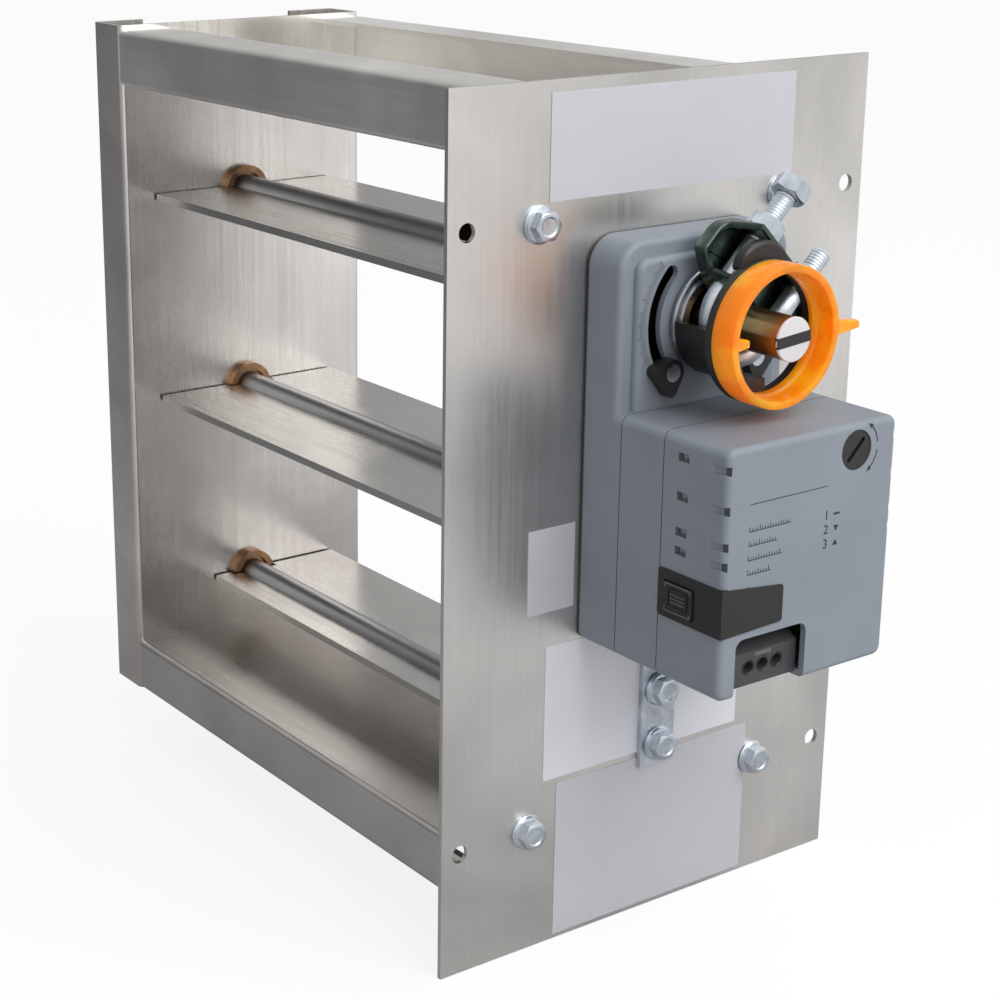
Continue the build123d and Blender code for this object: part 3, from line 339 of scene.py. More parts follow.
def make_metals(finish):
    """The sheet, shaft, fastener and bushing metals."""
    upright = (850.0, 850.0, 14.0)
    lengthwise = (14.0, 850.0, 850.0)
    plated = (700.0, 700.0, 700.0)
    # Painted light: the frame's walls take a brighter, warmer copy of the sheet aluminium, for the light
    # that falls on them.
    painted_light_warm_shift = (1.22, 1.19, 1.17)
    sheet = finish.aluminium
    painted_light_warm_sheet = tuple(tone * share for tone, share in zip(sheet, painted_light_warm_shift))
    metal("frame_aluminium", painted_light_warm_sheet, 0.17, (420.0, 420.0, 12.0), contrast=0.2, bump=0.06, scuff=0.03)
    # Painted light: the upper rail takes a copy of the sheet aluminium 1.28 times brighter than the lower
    # rail's, for the light that falls on it.
    metal("upper_rail_painted_light_aluminium", scaled(sheet, 1.28), 0.3, lengthwise, bump=0.12)
    metal("rail_aluminium", sheet, 0.24, lengthwise, bump=0.12)
    metal("plate_aluminium", sheet, 0.26, upright, cloud_size=11.0, contrast=0.22, bump=0.15)
    # Painted shade: the blades take a darker copy (0.82) of the sheet aluminium, for the shade they lie in
    # inside the frame.
    metal("blade_aluminium", scaled(sheet, 0.82), 0.17, (8.0, 500.0, 500.0), bump=0.03, scuff=0.03)
    metal("shaft_steel", finish.steel, 0.30, (10.0, 1500.0, 1500.0), contrast=0.1)
    metal("zinc_steel", finish.zinc, 0.22, plated, cloud_size=160.0, contrast=0.3)
    metal("wire_zinc", scaled(finish.zinc, 1.1), 0.34, plated, cloud_size=160.0, contrast=0.25)
    metal("dark_zinc", finish.dark_zinc, 0.22, (500.0, 500.0, 500.0), cloud_size=120.0, contrast=0.4)
    metal("bronze", finish.bronze, 0.30, (900.0, 900.0, 900.0), cloud_size=140.0, contrast=0.5, bump=0.5)
    metal("spindle_brass", finish.brass, 0.24, (40.0, 2200.0, 2200.0), cloud_size=90.0, contrast=0.3)


def make_plastics(finish):
    """The opaque plastics, the label films and the inks."""
    wiring, shader = plastic("housing_grey", finish.housing, 0.42)
    # Painted shadow: the housing turns near black within about a millimetre of the plate, for the contact
    # shadow along its back edge.
    place = wiring.add("ShaderNodeNewGeometry").outputs["Position"]
    out = wiring.add("ShaderNodeSeparateXYZ", {0: place}).outputs["X"]
    clear_of_plate = wiring.spread(out, (plate_face + 0.5) * MM, (plate_face + 1.3) * MM)
    worn = shader.inputs["Base Color"].links[0].from_socket
    painted_contact_shadow = wiring.mix(clear_of_plate, (0.006, 0.006, 0.007, 1), worn)
    wiring.fill(shader, {"Base Color": painted_contact_shadow})
    plastic("black_plastic", (0.014, 0.0135, 0.014), 0.36, wear=0.6)
    plastic("socket_plastic", (0.05, 0.05, 0.053), 0.42, wear=0.3)
    plastic("housing_dark", scaled(finish.housing, 0.62), 0.5, wear=0.0)
    # Painted shade: a dark copy of the housing colour for the shade in the vents' recesses.
    plastic("vent_shade", scaled(finish.housing, 0.34), 0.6, wear=0.0)
    plastic("gear_plastic", (0.72, 0.70, 0.64), 0.38)
    plastic("board_green", (0.03, 0.16, 0.07), 0.45, grain_size=600.0)
    # Painted light: the middle label's finish is a copy of the label film 1.38 times brighter.
    for name, colour, roughness in (
        ("label_film", finish.label, 0.30),
        ("label_film_painted_light", scaled(finish.label, 1.38), 0.35),
    ):
        plastic(name, colour, roughness, grain_size=700.0, bump=0.08, drift=0.02, wear=0.1)
    plastic("print_ink", (0.018, 0.018, 0.022), 0.5, wear=0.0)
    plastic("dull_ink", (0.13, 0.13, 0.13), 0.5, wear=0.0)
    plastic("white_enamel", (0.66, 0.64, 0.66), 0.4, wear=0.0)


def make_clear_orange(finish):
    """The indicator's clear plastic, with a weak painted glow, brighter at its rims, for the light it
    carries to its edges.
    """
    wiring, shader = plastic("orange_plastic", finish.ring, 0.10, grain_size=350.0, bump=0.05, wear=0.3)
    painted_glow_rims = place_group(wiring, "Edge wear and glow rims", width=0.5 * MM, break_up=0.0)["Wear"]
    bands = place_group(wiring, "Moulded grain", grain_size=60.0, drift_size=90.0)["Drift"]
    depth = wiring.spread(bands, 0.35, 0.65)
    wiring.fill(shader, {
        "Base Color": wiring.mix(depth, solid(finish.ring), (1.0, 0.50, 0.012, 1)),
        "Transmission Weight": 0.45,
        "Subsurface Weight": 0.6,
        "Subsurface Radius": (1.0, 0.45, 0.1),
        "Subsurface Scale": 4 * MM,
        "IOR": 1.46,
        # Painted glow: a weak emission, brighter orange at the rims.
        "Emission Color": wiring.mix(painted_glow_rims, (1.0, 0.25, 0.004, 1), (1.0, 0.42, 0.05, 1)),
        "Emission Strength": 0.16,
    })


def dress_nodes():
    """Gives each CAD node the finish of its material slot, or a closer one of the same stuff; the upper rail
    and the middle label get brighter copies that paint light on them.
    """
    closer = {
        "top_channel": "upper_rail_painted_light_aluminium",
        "bottom_channel": "rail_aluminium",
        "u_bolt": "wire_zinc",
        "terminal_socket": "socket_plastic",
        "label_middle": "label_film_painted_light",
    }
    for name, node in nodes.items():
        finish = materials[closer.get(name, slot_of[name])]
        if not node.data.materials:
            node.data.materials.append(finish)
        for place in node.material_slots:
            place.material = finish


# ---- Mesh helpers, in millimetres
def millimetres(settings, *names):
    """The named lengths of the settings, in millimetres."""
    return [getattr(settings, name) / MM for name in names]


def sharpen(bm, angle=radians(32), weld=0.0001 * MM):
    """Smooth faces with a hard edge wherever two faces meet at more than the angle."""
    bmesh.ops.remove_doubles(bm, verts=bm.verts, dist=weld)
    bmesh.ops.recalc_face_normals(bm, faces=bm.faces)
    for face in bm.faces:
        face.smooth = True
    for edge in bm.edges:
        edge.smooth = len(edge.link_faces) == 2 and edge.calc_face_angle(pi) < angle


def add_object(name, data):
    """A new object in the scene."""
    made = bpy.data.objects.new(name, data)
    bpy.context.scene.collection.objects.link(made)
    return made


def add_piece(name, mesh, body, finish):
    """Puts a mesh in the scene as a piece that rides on a body."""
    piece = add_object(name, mesh)
    mesh.materials.clear()
    mesh.materials.append(materials[finish])
    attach(piece, body)
    return piece


def make_piece(name, bm, body, finish, slot, *replaced):
    """Turns a bmesh in millimetres into a piece that rides on a body and stands for the replaced nodes."""
    bm.transform(Matrix.Scale(MM, 4))
    sharpen(bm)
    mesh = bpy.data.meshes.new(name)
    bm.to_mesh(mesh)
    bm.free()
    piece = add_piece(name, mesh, body, finish)
    if replaced:
        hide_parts(*replaced)


def axis_frame(origin, axis, across):
    """A matrix whose local Z runs along the axis and local X along across."""
    axis = Vector(axis).normalized()
    across = (Vector(across) - axis * Vector(across).dot(axis)).normalized()
    matrix = Matrix((across, axis.cross(across), axis)).transposed().to_4x4()
    matrix.translation = Vector(origin)
    return matrix


def outward(x, y=spindle_y, z=spindle_z, turn=0.0):
    """Local Z out along X, local X along Y and local Y upwards, both turned anticlockwise by an angle."""
    return axis_frame((x, y, z), (1, 0, 0), (0, cos(turn), sin(turn)))


def clamp_frame(settings, x):
    """Local X along the U-bolt's legs, local Y across them, local Z along the spindle's axis."""
    return outward(x, turn=settings.clamp_angle)


def skin(bm, matrix, rings, closed=False):
    """Faces between rings of local points; the first and last are capped unless the skin is closed."""
    made = [[bm.verts.new(matrix @ Vector(point)) for point in ring] for ring in rings]
    pairs = list(zip(made, made[1:])) + ([(made[-1], made[0])] if closed else [])
    for low, high in pairs:
        for index in range(len(low)):
            following = (index + 1) % len(low)
            bm.faces.new((low[index], low[following], high[following], high[index]))
    if not closed:
        bm.faces.new(reversed(made[0]))
        bm.faces.new(made[-1])


def turned(profile, steps=72):
    """Rings of a turned solid from (radius, height) pairs."""
    angles = [2 * pi * step / steps for step in range(steps)]
    return [[(radius * cos(a), radius * sin(a), height) for a in angles] for radius, height in profile]


def hexagon(flats, height, shave=None, steps=72):
    """Points round a hexagon; with shave, corners beyond that radius are turned down by 30 degrees."""
    points = []
    for step in range(steps):
        angle = 2 * pi * step / steps
        radius = flats / 2 / cos(angle % (pi / 3) - pi / 6)
        drop = 0.0 if shave is None else max(0.0, radius - shave) * tan(radians(30))
        points.append((radius * cos(angle), radius * sin(angle), height - drop))
    return points


def at(outline, height):
    """The points of an outline at a height."""
    return [(x, y, height) for x, y in outline]


def prism(bm, matrix, outline, low, high):
    """A straight solid between two heights on a local outline."""
    skin(bm, matrix, [at(outline, low), at(outline, high)])


def hollow(bm, matrix, outer, inner, low, high):
    """A straight closed band between an outer and an inner outline."""
    skin(bm, matrix, [at(inner, low), at(outer, low), at(outer, high), at(inner, high)], closed=True)


def rounded(width, height, radius, steps=5, centre=(0.0, 0.0)):
    """Outline of a rectangle with round corners."""
    points = []
    for corner, (sx, sy) in enumerate(((1, 1), (-1, 1), (-1, -1), (1, -1))):
        for step in range(steps + 1):
            angle = pi / 2 * (corner + step / steps)
            points.append((
                centre[0] + sx * (width / 2 - radius) + radius * cos(angle),
                centre[1] + sy * (height / 2 - radius) + radius * sin(angle),
            ))
    return points


def corners_of(points):
    """Each corner of a closed outline, between the corners before and after it."""
    spots = [Vector(point) for point in points]
    return zip(spots[-1:] + spots[:-1], spots, spots[1:] + spots[:1])


def offset_outline(points, distance):
    """A closed outline moved sideways, corner by corner, to the left of its direction."""
    moved = []
    for before, here, after in corners_of(points):
        first = (here - before).normalized()
        second = (after - here).normalized()
        bisector = Vector((-first.y - second.y, first.x + second.x)).normalized()
        reach = distance / max(0.5, bisector.dot(Vector((-first.y, first.x))))
        moved.append(tuple(here + bisector * reach))
    return moved


def round_corners(points, setbacks, steps=5):
    """An outline whose corners are drawn as small curves that start at the given setbacks."""
    smooth = []
    for (before, here, after), setback in zip(corners_of(points), setbacks):
        back = here + (before - here).normalized() * setback
        ahead = here + (after - here).normalized() * setback
        for step in range(steps + 1):
            share = step / steps
            start = back * (1 - share) ** 2
            smooth.append(tuple(start + here * 2 * share * (1 - share) + ahead * share ** 2))
    return smooth


def sector_band(bm, matrix, inner, outer, low, high, middle, half, steps=24):
    """A band of a ring between two radii and heights, about a middle angle."""
    corners = ((inner, low), (outer, low), (outer, high), (inner, high))
    rings = []
    for step in range(steps + 1):
        angle = radians(middle - half + 2 * half * step / steps)
        rings.append([(radius * cos(angle), radius * sin(angle), height) for radius, height in corners])
    skin(bm, matrix, rings)


def arc_band(radius, width, start, end, centre, steps=20):
    """Outline of a thin arc."""
    sides = []
    for reach in (radius + width / 2, radius - width / 2):
        angles = [radians(start + (end - start) * step / steps) for step in range(steps + 1)]
        sides.append([(centre[0] + reach * cos(angle), centre[1] + reach * sin(angle)) for angle in angles])
    return sides[0] + sides[1][::-1]


# How far marks reach into the face under them, and the heights of the terminals' rows of marks.
sunk = 0.02
terminal_top, terminal_step = 13.6, 4.3


def front_mark(bm, outline, low=-sunk, high=0.05):
    """A printed mark on the block's front; the outline is in Y and Z."""
    prism(bm, outward(block_front, 0, 0), outline, low, high)


def front_bar(bm, width, height, y, z, corner=0.1):
    """A printed bar on the block's front."""
    front_mark(bm, rounded(width, height, corner, 2, (y, z)))


# ---- Operators
class DAMPER_OT_finishes(bpy.types.Operator):
    """Make every finish and give each CAD node its own."""

    bl_idname = "damper.finishes"
    bl_label = "Finishes"

    def execute(self, context):
        finish = context.scene.damper_finish
        make_rolled_grain()
        make_moulded_grain()
        make_edge_wear_and_glow_rims()
        make_metals(finish)
        make_plastics(finish)
        make_clear_orange(finish)
        dress_nodes()
        return {"FINISHED"}


def add_bolt(bm, settings, y, z, seat, tail):
    """A flange bolt with a chamfered hexagon, a dished top and a shank that ends behind the plate."""
    names = ("bolt_flats", "bolt_flange", "bolt_height", "bolt_radius")
    flats, flange, height, shank = millimetres(settings, *names)
    end = tail - seat
    washer = 1.2
    shave = flats / 2 * 0.97
    foot = (
        (shank * 0.8, end), (shank, end + 0.5), (shank, 0.0), (flange - 0.1, 0.0),
        (flange, 0.15), (flange, washer * 0.55), (flange * 0.93, washer * 0.8),
        (flats * 0.62, washer * 1.1),
    )
    dish = (
        (shave, height), (shave * 0.74, height), (shave * 0.62, height - 0.35),
        (shave * 0.1, height - 0.45),
    )
    sides = [hexagon(flats, washer * 1.25), hexagon(flats, height, shave)]
    skin(bm, outward(seat, y, z), turned(foot) + sides + turned(dish))


class DAMPER_OT_bolts(bpy.types.Operator):
    """Flange bolts of the motor plate and of the strap, with chamfered heads."""

    bl_idname = "damper.bolts"
    bl_label = "Plate and strap bolts"

    def execute(self, context):
        settings = context.scene.damper_fastening
        reach, head = millimetres(settings, "bolt_flange", "bolt_height")
        for node, name in (("plate_bolts", "plate_flange_bolts"), ("strap_bolts", "strap_flange_bolts")):
            low, high = box(node)
            columns = [low.y + reach]
            if high.y - low.y > 3 * reach:
                columns.append(high.y - reach)
            bm = bmesh.new()
            for y in columns:
                for z in (low.z + reach, high.z - reach):
                    add_bolt(bm, settings, y, z, high.x - head, low.x)
            make_piece(name, bm, "frame", "zinc_steel", "zinc_steel", node)
        return {"FINISHED"}


def thread_radius(radius, depth, pitch, along, angle):
    """Radius of a rod's helical thread at a distance along it and an angle round it."""
    phase = (along / pitch - angle / (2 * pi)) % 1.0
    groove = 1 - abs(2 * phase - 1)
    return radius - depth * groove


class DAMPER_OT_u_bolt(bpy.types.Operator):
    """U-bolt of bent wire with threaded legs."""

    bl_idname = "damper.u_bolt"
    bl_label = "U-bolt"

    def execute(self, context):
        settings = context.scene.damper_fastening
        low, high = box("u_bolt")
        wire, spacing, pitch, thread_start, long_leg, short_leg = millimetres(
            settings, "wire_radius", "leg_spacing", "thread_pitch", "thread_start", "long_leg", "short_leg")
        half = spacing / 2
        bend_at = half - wire - spindle_radius
        thread_depth, chamfer, plain_before = 0.2, 0.6, 0.4
        rings_per_turn, bend_steps, points_around = 6, 28, 20
        angles = [2 * pi * step / points_around for step in range(points_around)]

        def leg_rings(end):
            """Rings from a leg's end to the bend, about the leg's own middle line."""
            first = end - chamfer
            count = int((first - thread_start) / pitch * rings_per_turn)
            threads = [first - (step + 1) * pitch / rings_per_turn for step in range(count)]
            made = [(end, [wire - chamfer] * points_around), (first, [wire - thread_depth] * points_around)]
            for along in threads:
                made.append((along, [thread_radius(wire, thread_depth, pitch, along, a) for a in angles]))
            for along in (thread_start - plain_before, bend_at):
                made.append((along, [wire] * points_around))
            return [
                [(along, r * cos(a), r * sin(a)) for a, r in zip(angles, radii)] for along, radii in made]

        rings = []
        for ring in leg_rings(long_leg):
            rings.append([(along, half + across, x) for along, across, x in ring])
        for step in range(1, bend_steps):
            turn = pi / 2 + pi * step / bend_steps
            ring = [(half + wire * cos(a), wire * sin(a)) for a in angles]
            rings.append([(bend_at + reach * cos(turn), reach * sin(turn), x) for reach, x in ring])
        for ring in reversed(leg_rings(short_leg)):
            rings.append([(along, -half - across, x) for along, across, x in ring])
        bm = bmesh.new()
        skin(bm, clamp_frame(settings, (low.x + high.x) / 2), rings)
        make_piece("u_bolt_threaded", bm, "drive", "wire_zinc", "zinc_steel", "u_bolt")
        return {"FINISHED"}


class DAMPER_OT_nuts(bpy.types.Operator):
    """Clamp nuts with chamfered corners and countersunk bores."""

    bl_idname = "damper.nuts"
    bl_label = "Clamp nuts"

    def execute(self, context):
        settings = context.scene.damper_fastening
        low, high = box("u_bolt")
        matrix = clamp_frame(settings, (low.x + high.x) / 2)
        spacing, height, flats, bore = millimetres(
            settings, "leg_spacing", "nut_height", "nut_flats", "wire_radius")
        half = spacing / 2
        axis, across = matrix.col[0].to_3d(), matrix.col[1].to_3d()
        shave = flats / 2 * 0.98
        sink, mouth = 0.35, bore + 0.3
        top_side = hexagon(flats, height, shave)
        low_side = [(x, y, height - z) for x, y, z in top_side]
        rings = turned([(bore, sink), (mouth, 0.0), (shave, 0.0)]) + [low_side, top_side]
        rings += turned([(shave, height), (mouth, height), (bore, height - sink)])
        jaw_seat, end_seat = 23.5, 37.5
        bm = bmesh.new()
        for seat, side in ((jaw_seat, 1), (jaw_seat, -1), (end_seat, 1)):
            place = axis_frame(matrix @ Vector((seat, side * half, 0)), axis, across)
            skin(bm, place, rings, closed=True)
        make_piece("clamp_hex_nuts", bm, "drive", "zinc_steel", "zinc_steel", "clamp_nuts")
        return {"FINISHED"}


class DAMPER_OT_stop_scale(bpy.types.Operator):
    """Plain tick scales moulded beside the two end stop slots."""

    bl_idname = "damper.stop_scale"
    bl_label = "End stop scales"

    def execute(self, context):
        settings = context.scene.damper_fastening
        count = settings.scale_ticks
        proud = settings.print_height / MM
        first_angle, swing, long_every = 137, 66, 5
        inner, thickness, corner = 25.0, 0.26, 0.08
        long_tick, short_tick = 2.6, 1.7
        matrix = outward(block_low.x)
        bm = bmesh.new()
        for side in (1, -1):
            for step in range(count + 1):
                angle = radians(first_angle + swing * step / count)
                tick = long_tick if step % long_every == 0 else short_tick
                turn = Matrix.Rotation(angle if side == 1 else pi - angle, 4, "Z")
                outline = rounded(tick, thickness, corner, 2, (inner + tick / 2, 0.0))
                prism(bm, matrix @ turn, outline, -sunk, proud)
        make_piece("stop_scale_ticks", bm, "frame", "housing_dark", "housing_grey")
        return {"FINISHED"}


class DAMPER_OT_jaw(bpy.types.Operator):
    """Stamped clamp jaw: a dished tray behind the U-bolt, a vee on the spindle and a flange for the nuts."""

    bl_idname = "damper.jaw"
    bl_label = "Clamp jaw"

    def execute(self, context):
        settings = context.scene.damper_fastening
        low, high = box("clamp_jaw")
        depth = high.x - low.x
        corners = [(9.0, 0), (2.5, 6.5), (4.0, 16.7), (7.8, 24.5), (17.5, 24.5), (23.5, 18.5)]
        corners += [(along, -across) for along, across in reversed(corners[1:])]
        setbacks = [0.8, 2.0, 3.5, 1.5, 3.0, 1.2, 1.2, 3.0, 1.5, 3.5, 2.0]
        outline = round_corners(corners, setbacks)
        flange_from, toe_before, low_share = 21.5, 4.6, 0.40
        edge_drop, floor_height, middle_height = 0.4, 3.0, 2.2

        def wall(along):
            """Height of the tray's wall: full at the nuts' flange and the toes, lower beside the U-bolt."""
            return depth if along > flange_from or along < toe_before else depth * low_share

        crest, lip, inner = (offset_outline(outline, -distance) for distance in (0.4, 1.5, 1.9))
        bm = bmesh.new()
        skin(bm, clamp_frame(settings, low.x), [
            at(offset_outline(outline, -0.3), 0.0),
            at(outline, 0.5),
            [(x, y, wall(x) - edge_drop) for x, y in outline],
            [(x, y, wall(x)) for x, y in crest],
            [(x, y, wall(along)) for (x, y), (along, _) in zip(lip, outline)],
            [(x, y, wall(along) - edge_drop) for (x, y), (along, _) in zip(inner, outline)],
            at(inner, floor_height),
            at(offset_outline(outline, -2.8), middle_height),
        ])
        make_piece("clamp_jaw_stamped", bm, "drive", "dark_zinc", "dark_zinc", "clamp_jaw")
        return {"FINISHED"}


class DAMPER_OT_seat(bpy.types.Operator):
    """Clamp seat with a rolled outer rim and a raised inner rim."""

    bl_idname = "damper.seat"
    bl_label = "Clamp seat"

    def execute(self, context):
        low, high = box("clamp_seat")
        radius = (high.y - low.y) / 2
        bore, rim = 10.05, 13.0
        front = high.x - low.x
        profile = [
            (bore, 0.0), (radius - 0.3, 0.0), (radius, 0.3), (radius, 0.9),
            (radius - 0.2, front - 0.1), (radius - 0.6, front),
            (radius - 1.1, front - 0.2), (radius - 1.3, 0.6),
            (rim + 0.7, 0.6), (rim + 0.4, front - 0.2), (rim, front),
            (rim - 0.5, front - 0.2), (rim - 0.8, 0.8), (bore, 0.8),
        ]
        bm = bmesh.new()
        skin(bm, outward(low.x), turned(profile, 96), closed=True)
        make_piece("clamp_seat_rimmed", bm, "drive", "zinc_steel", "zinc_steel", "clamp_seat")
        return {"FINISHED"}


class DAMPER_OT_indicator(bpy.types.Operator):
    """Clear indicator ring with its two pointers, and the black carrier behind it."""

    bl_idname = "damper.indicator"
    bl_label = "Indicator"

    def execute(self, context):
        low, high = box("indicator_ring")
        outer = (high.z - low.z) / 2
        self.make_ring(low, high, outer)
        self.make_carrier(outer)
        return {"FINISHED"}

    def make_ring(self, low, high, outer):
        """The clear ring with a ledge behind its rim and a pointer on each side."""
        depth = high.x - low.x
        inner = outer - 2.4
        ledge = inner - 0.9
        profile = [
            (outer - 0.5, 0.0), (outer, 0.5), (outer, depth - 0.5),
            (outer - 0.15, depth - 0.15), (outer - 0.5, depth), (inner + 0.5, depth),
            (inner + 0.15, depth - 0.15), (inner, depth - 0.5), (inner, 3.0),
            (ledge, 2.6), (ledge, 0.3), (inner - 0.6, 0.0),
        ]
        matrix = outward(low.x)
        bm = bmesh.new()
        skin(bm, matrix, turned(profile, 120), closed=True)
        root, tip, foot = inner + 0.6, 1.15, depth - 3.4
        for side, end, base in ((1, high.y - spindle_y, 2.6), (-1, 14.2, 2.2)):
            outline = [
                (side * root, -side * base), (side * end, -side * tip),
                (side * end, side * tip), (side * root, side * base),
            ]
            if end < root:
                outline.reverse()
            narrow = [(x, y * 0.8) for x, y in outline]
            crest = [(x, y * 0.7) for x, y in outline]
            skin(bm, matrix, [
                at(narrow, foot), at(outline, foot + 0.5),
                at(outline, depth - 0.9), at(crest, depth - 0.25),
            ])
        make_piece("indicator_ring_clear", bm, "drive", "orange_plastic", "orange_plastic", "indicator_ring")

    def make_carrier(self, outer):
        """The black flange behind the ring, its half sleeve and the round lobe above."""
        low, high = box("indicator_carrier")
        front, back = high.x, high.x - 2.5
        bore, sleeve, sleeve_angle, sleeve_half = 17.5, 13.6, 225, 50
        matrix = outward(0)
        bm = bmesh.new()
        profile = [
            (bore, back), (outer - 0.3, back), (outer, back + 0.3), (outer, front - 0.3),
            (outer - 0.2, front), (bore, front),
        ]
        skin(bm, matrix, turned(profile, 120), closed=True)
        for wall, start, end in ((16.0, low.x, back + 0.2), (17.8, back, front)):
            sector_band(bm, matrix, sleeve, wall, start, end, sleeve_angle, sleeve_half)
        section = [(0.0, -2.8), (3.2, -2.8), (3.8, -2.2), (3.8, 0.4), (3.2, 1.0), (0.0, 1.0)]
        lobe_radius, lobe_from, lobe_swing, lobe_swell = 19.6, 62, 52, 1.6
        steps = 30
        rings = []
        for step in range(steps + 1):
            angle = radians(lobe_from + lobe_swing * step / steps)
            swell = max(0.05, 1 - ((step - steps / 2) / (steps / 2)) ** 2) ** 0.5 * lobe_swell
            sized = [(lobe_radius + rise * swell, back + x) for rise, x in section]
            rings.append([(radius * cos(angle), radius * sin(angle), x) for radius, x in sized])
        skin(bm, matrix, rings)
        make_piece(
            "indicator_carrier_moulded", bm, "drive", "black_plastic", "black_plastic", "indicator_carrier")


class DAMPER_OT_spindle_face(bpy.types.Operator):
    """Bright painted end of the jackshaft with its black slot."""

    bl_idname = "damper.spindle_face"
    bl_label = "Jackshaft end face"

    def execute(self, context):
        radius = spindle_radius
        matrix = outward(spindle_high.x, turn=radians(5))
        bm = bmesh.new()
        skin(bm, matrix, turned([
            (radius - 0.2, -0.9), (radius + 0.12, -0.6), (radius + 0.12, -0.1),
            (radius - 0.1, 0.15), (radius * 0.5, 0.18), (radius * 0.1, 0.18),
        ]))
        make_piece("jackshaft_end_face", bm, "drive", "white_enamel", "spindle_brass")
        bm = bmesh.new()
        slot_length, slot_width = 2 * radius + 0.1, 3.2
        prism(bm, matrix, rounded(slot_length, slot_width, 0.25, 3), -0.6, 0.24)
        make_piece("jackshaft_end_slot", bm, "drive", "print_ink", "spindle_brass")
        return {"FINISHED"}


class DAMPER_OT_block_marks(bpy.types.Operator):
    """Seam lines of the block, plain numerals for the three terminals, arrows by the dial and tick rows."""

    bl_idname = "damper.block_marks"
    bl_label = "Block seams and marks"

    def execute(self, context):
        self.make_seams()
        bm = bmesh.new()
        self.add_dial_arrows(bm)
        self.add_tick_rows(bm)
        self.add_terminal_shapes(bm)
        make_piece("block_printed_marks", bm, "frame", "print_ink", "housing_grey")
        for row, numeral in enumerate("123"):
            self.make_numeral(context, row, numeral)
        return {"FINISHED"}

    def make_seams(self):
        """A thin band round the block at each of its two seams, and the bezel's split line."""
        proud, width, corner = 0.02, 0.28, 3
        cut = 0.3
        wide, tall = block_high.y - block_low.y, block_high.z - block_low.z
        outer = rounded(wide + 2 * proud, tall + 2 * proud, corner + proud, 6)
        inner = rounded(wide - 2 * cut, tall - 2 * cut, corner - cut, 6)
        middle_y, middle_z = (block_low.y + block_high.y) / 2, (block_low.z + block_high.z) / 2
        bm = bmesh.new()
        for x in (block_low.x, block_high.x):
            hollow(bm, outward(x, middle_y, middle_z), outer, inner, -width / 2, width / 2)
        make_piece("block_seams", bm, "frame", "print_ink", "housing_grey")
        bm = bmesh.new()
        split = rounded(0.3, 13.4, 0.1, 2, (-20.6, -8.0))
        front_mark(bm, split, 0.02, 0.06)
        make_piece("bezel_split_line", bm, "frame", "dull_ink", "black_plastic")

    def add_dial_arrows(self, bm):
        """Two arcs with heads beside the dial."""
        low, high = box("direction_dial")
        centre = ((low.y + high.y) / 2, (low.z + high.z) / 2)
        radius, line = 8.4, 0.35
        head, half_head, head_at = 1.7, 0.75, 0.1
        front_mark(bm, arc_band(radius, line, -48, -8, centre))
        front_mark(bm, arc_band(radius, line, 8, 48, centre))
        for degrees, turn in ((52, 1), (-52, -1)):
            angle = radians(degrees)
            tip_angle = angle + turn * head_at
            tip = Vector((centre[0] + radius * cos(tip_angle), centre[1] + radius * sin(tip_angle)))
            along = Vector((-sin(angle), cos(angle))) * turn
            foot = tip - along * head
            out = Vector((cos(angle), sin(angle))) * half_head * turn
            front_mark(bm, [tuple(tip), tuple(foot + out), tuple(foot - out)])

    def add_tick_rows(self, bm):
        """A line with four rows of ticks under it."""
        line = 0.22
        front_bar(bm, 30, line, -6.5, 22.4)
        row_start, tick_start, row_top, row_step = -21.5, -21.4, 14.5, 4.2
        long_tick, short_tick, long_every = 1.5, 0.9, 4
        for row, ticks in enumerate((16, 11, 13, 9)):
            base = row_top - row_step * row
            front_bar(bm, ticks, line, row_start + ticks / 2, base)
            for step in range(ticks):
                tall = long_tick if step % long_every == 0 else short_tick
                front_bar(bm, line, tall, tick_start + step, base + tall / 2, 0.08)

    def add_terminal_shapes(self, bm):
        """A bar and two triangles beside the numerals."""
        middle = 12.6
        for row, points in enumerate((
            [(-1.2, 0.3), (-1.2, -0.3), (1.2, -0.3), (1.2, 0.3)],
            [(-1.0, 0.8), (0, -0.9), (1.0, 0.8)],
            [(-1.0, -0.8), (1.0, -0.8), (0, 0.9)],
        )):
            height = terminal_top - terminal_step * row
            front_mark(bm, [(middle + y, height + z) for y, z in points])

    def make_numeral(self, context, row, numeral):
        """A plain printed numeral of one terminal."""
        curve = bpy.data.curves.new(f"terminal_numeral_{numeral}", "FONT")
        curve.body = numeral
        curve.size = 3.9 * MM
        curve.extrude = 0.05 * MM
        curve.align_x, curve.align_y = "CENTER", "CENTER"
        words = add_object(curve.name, curve)
        middle = 8.6
        place = outward(block_front, middle, terminal_top - terminal_step * row)
        place.translation *= MM
        words.matrix_world = place
        bpy.context.view_layer.update()
        flat = bpy.data.meshes.new_from_object(words.evaluated_get(context.evaluated_depsgraph_get()))
        flat.transform(words.matrix_world)
        bpy.data.objects.remove(words)
        add_piece(f"terminal_numeral_{numeral}", flat, "frame", "print_ink")


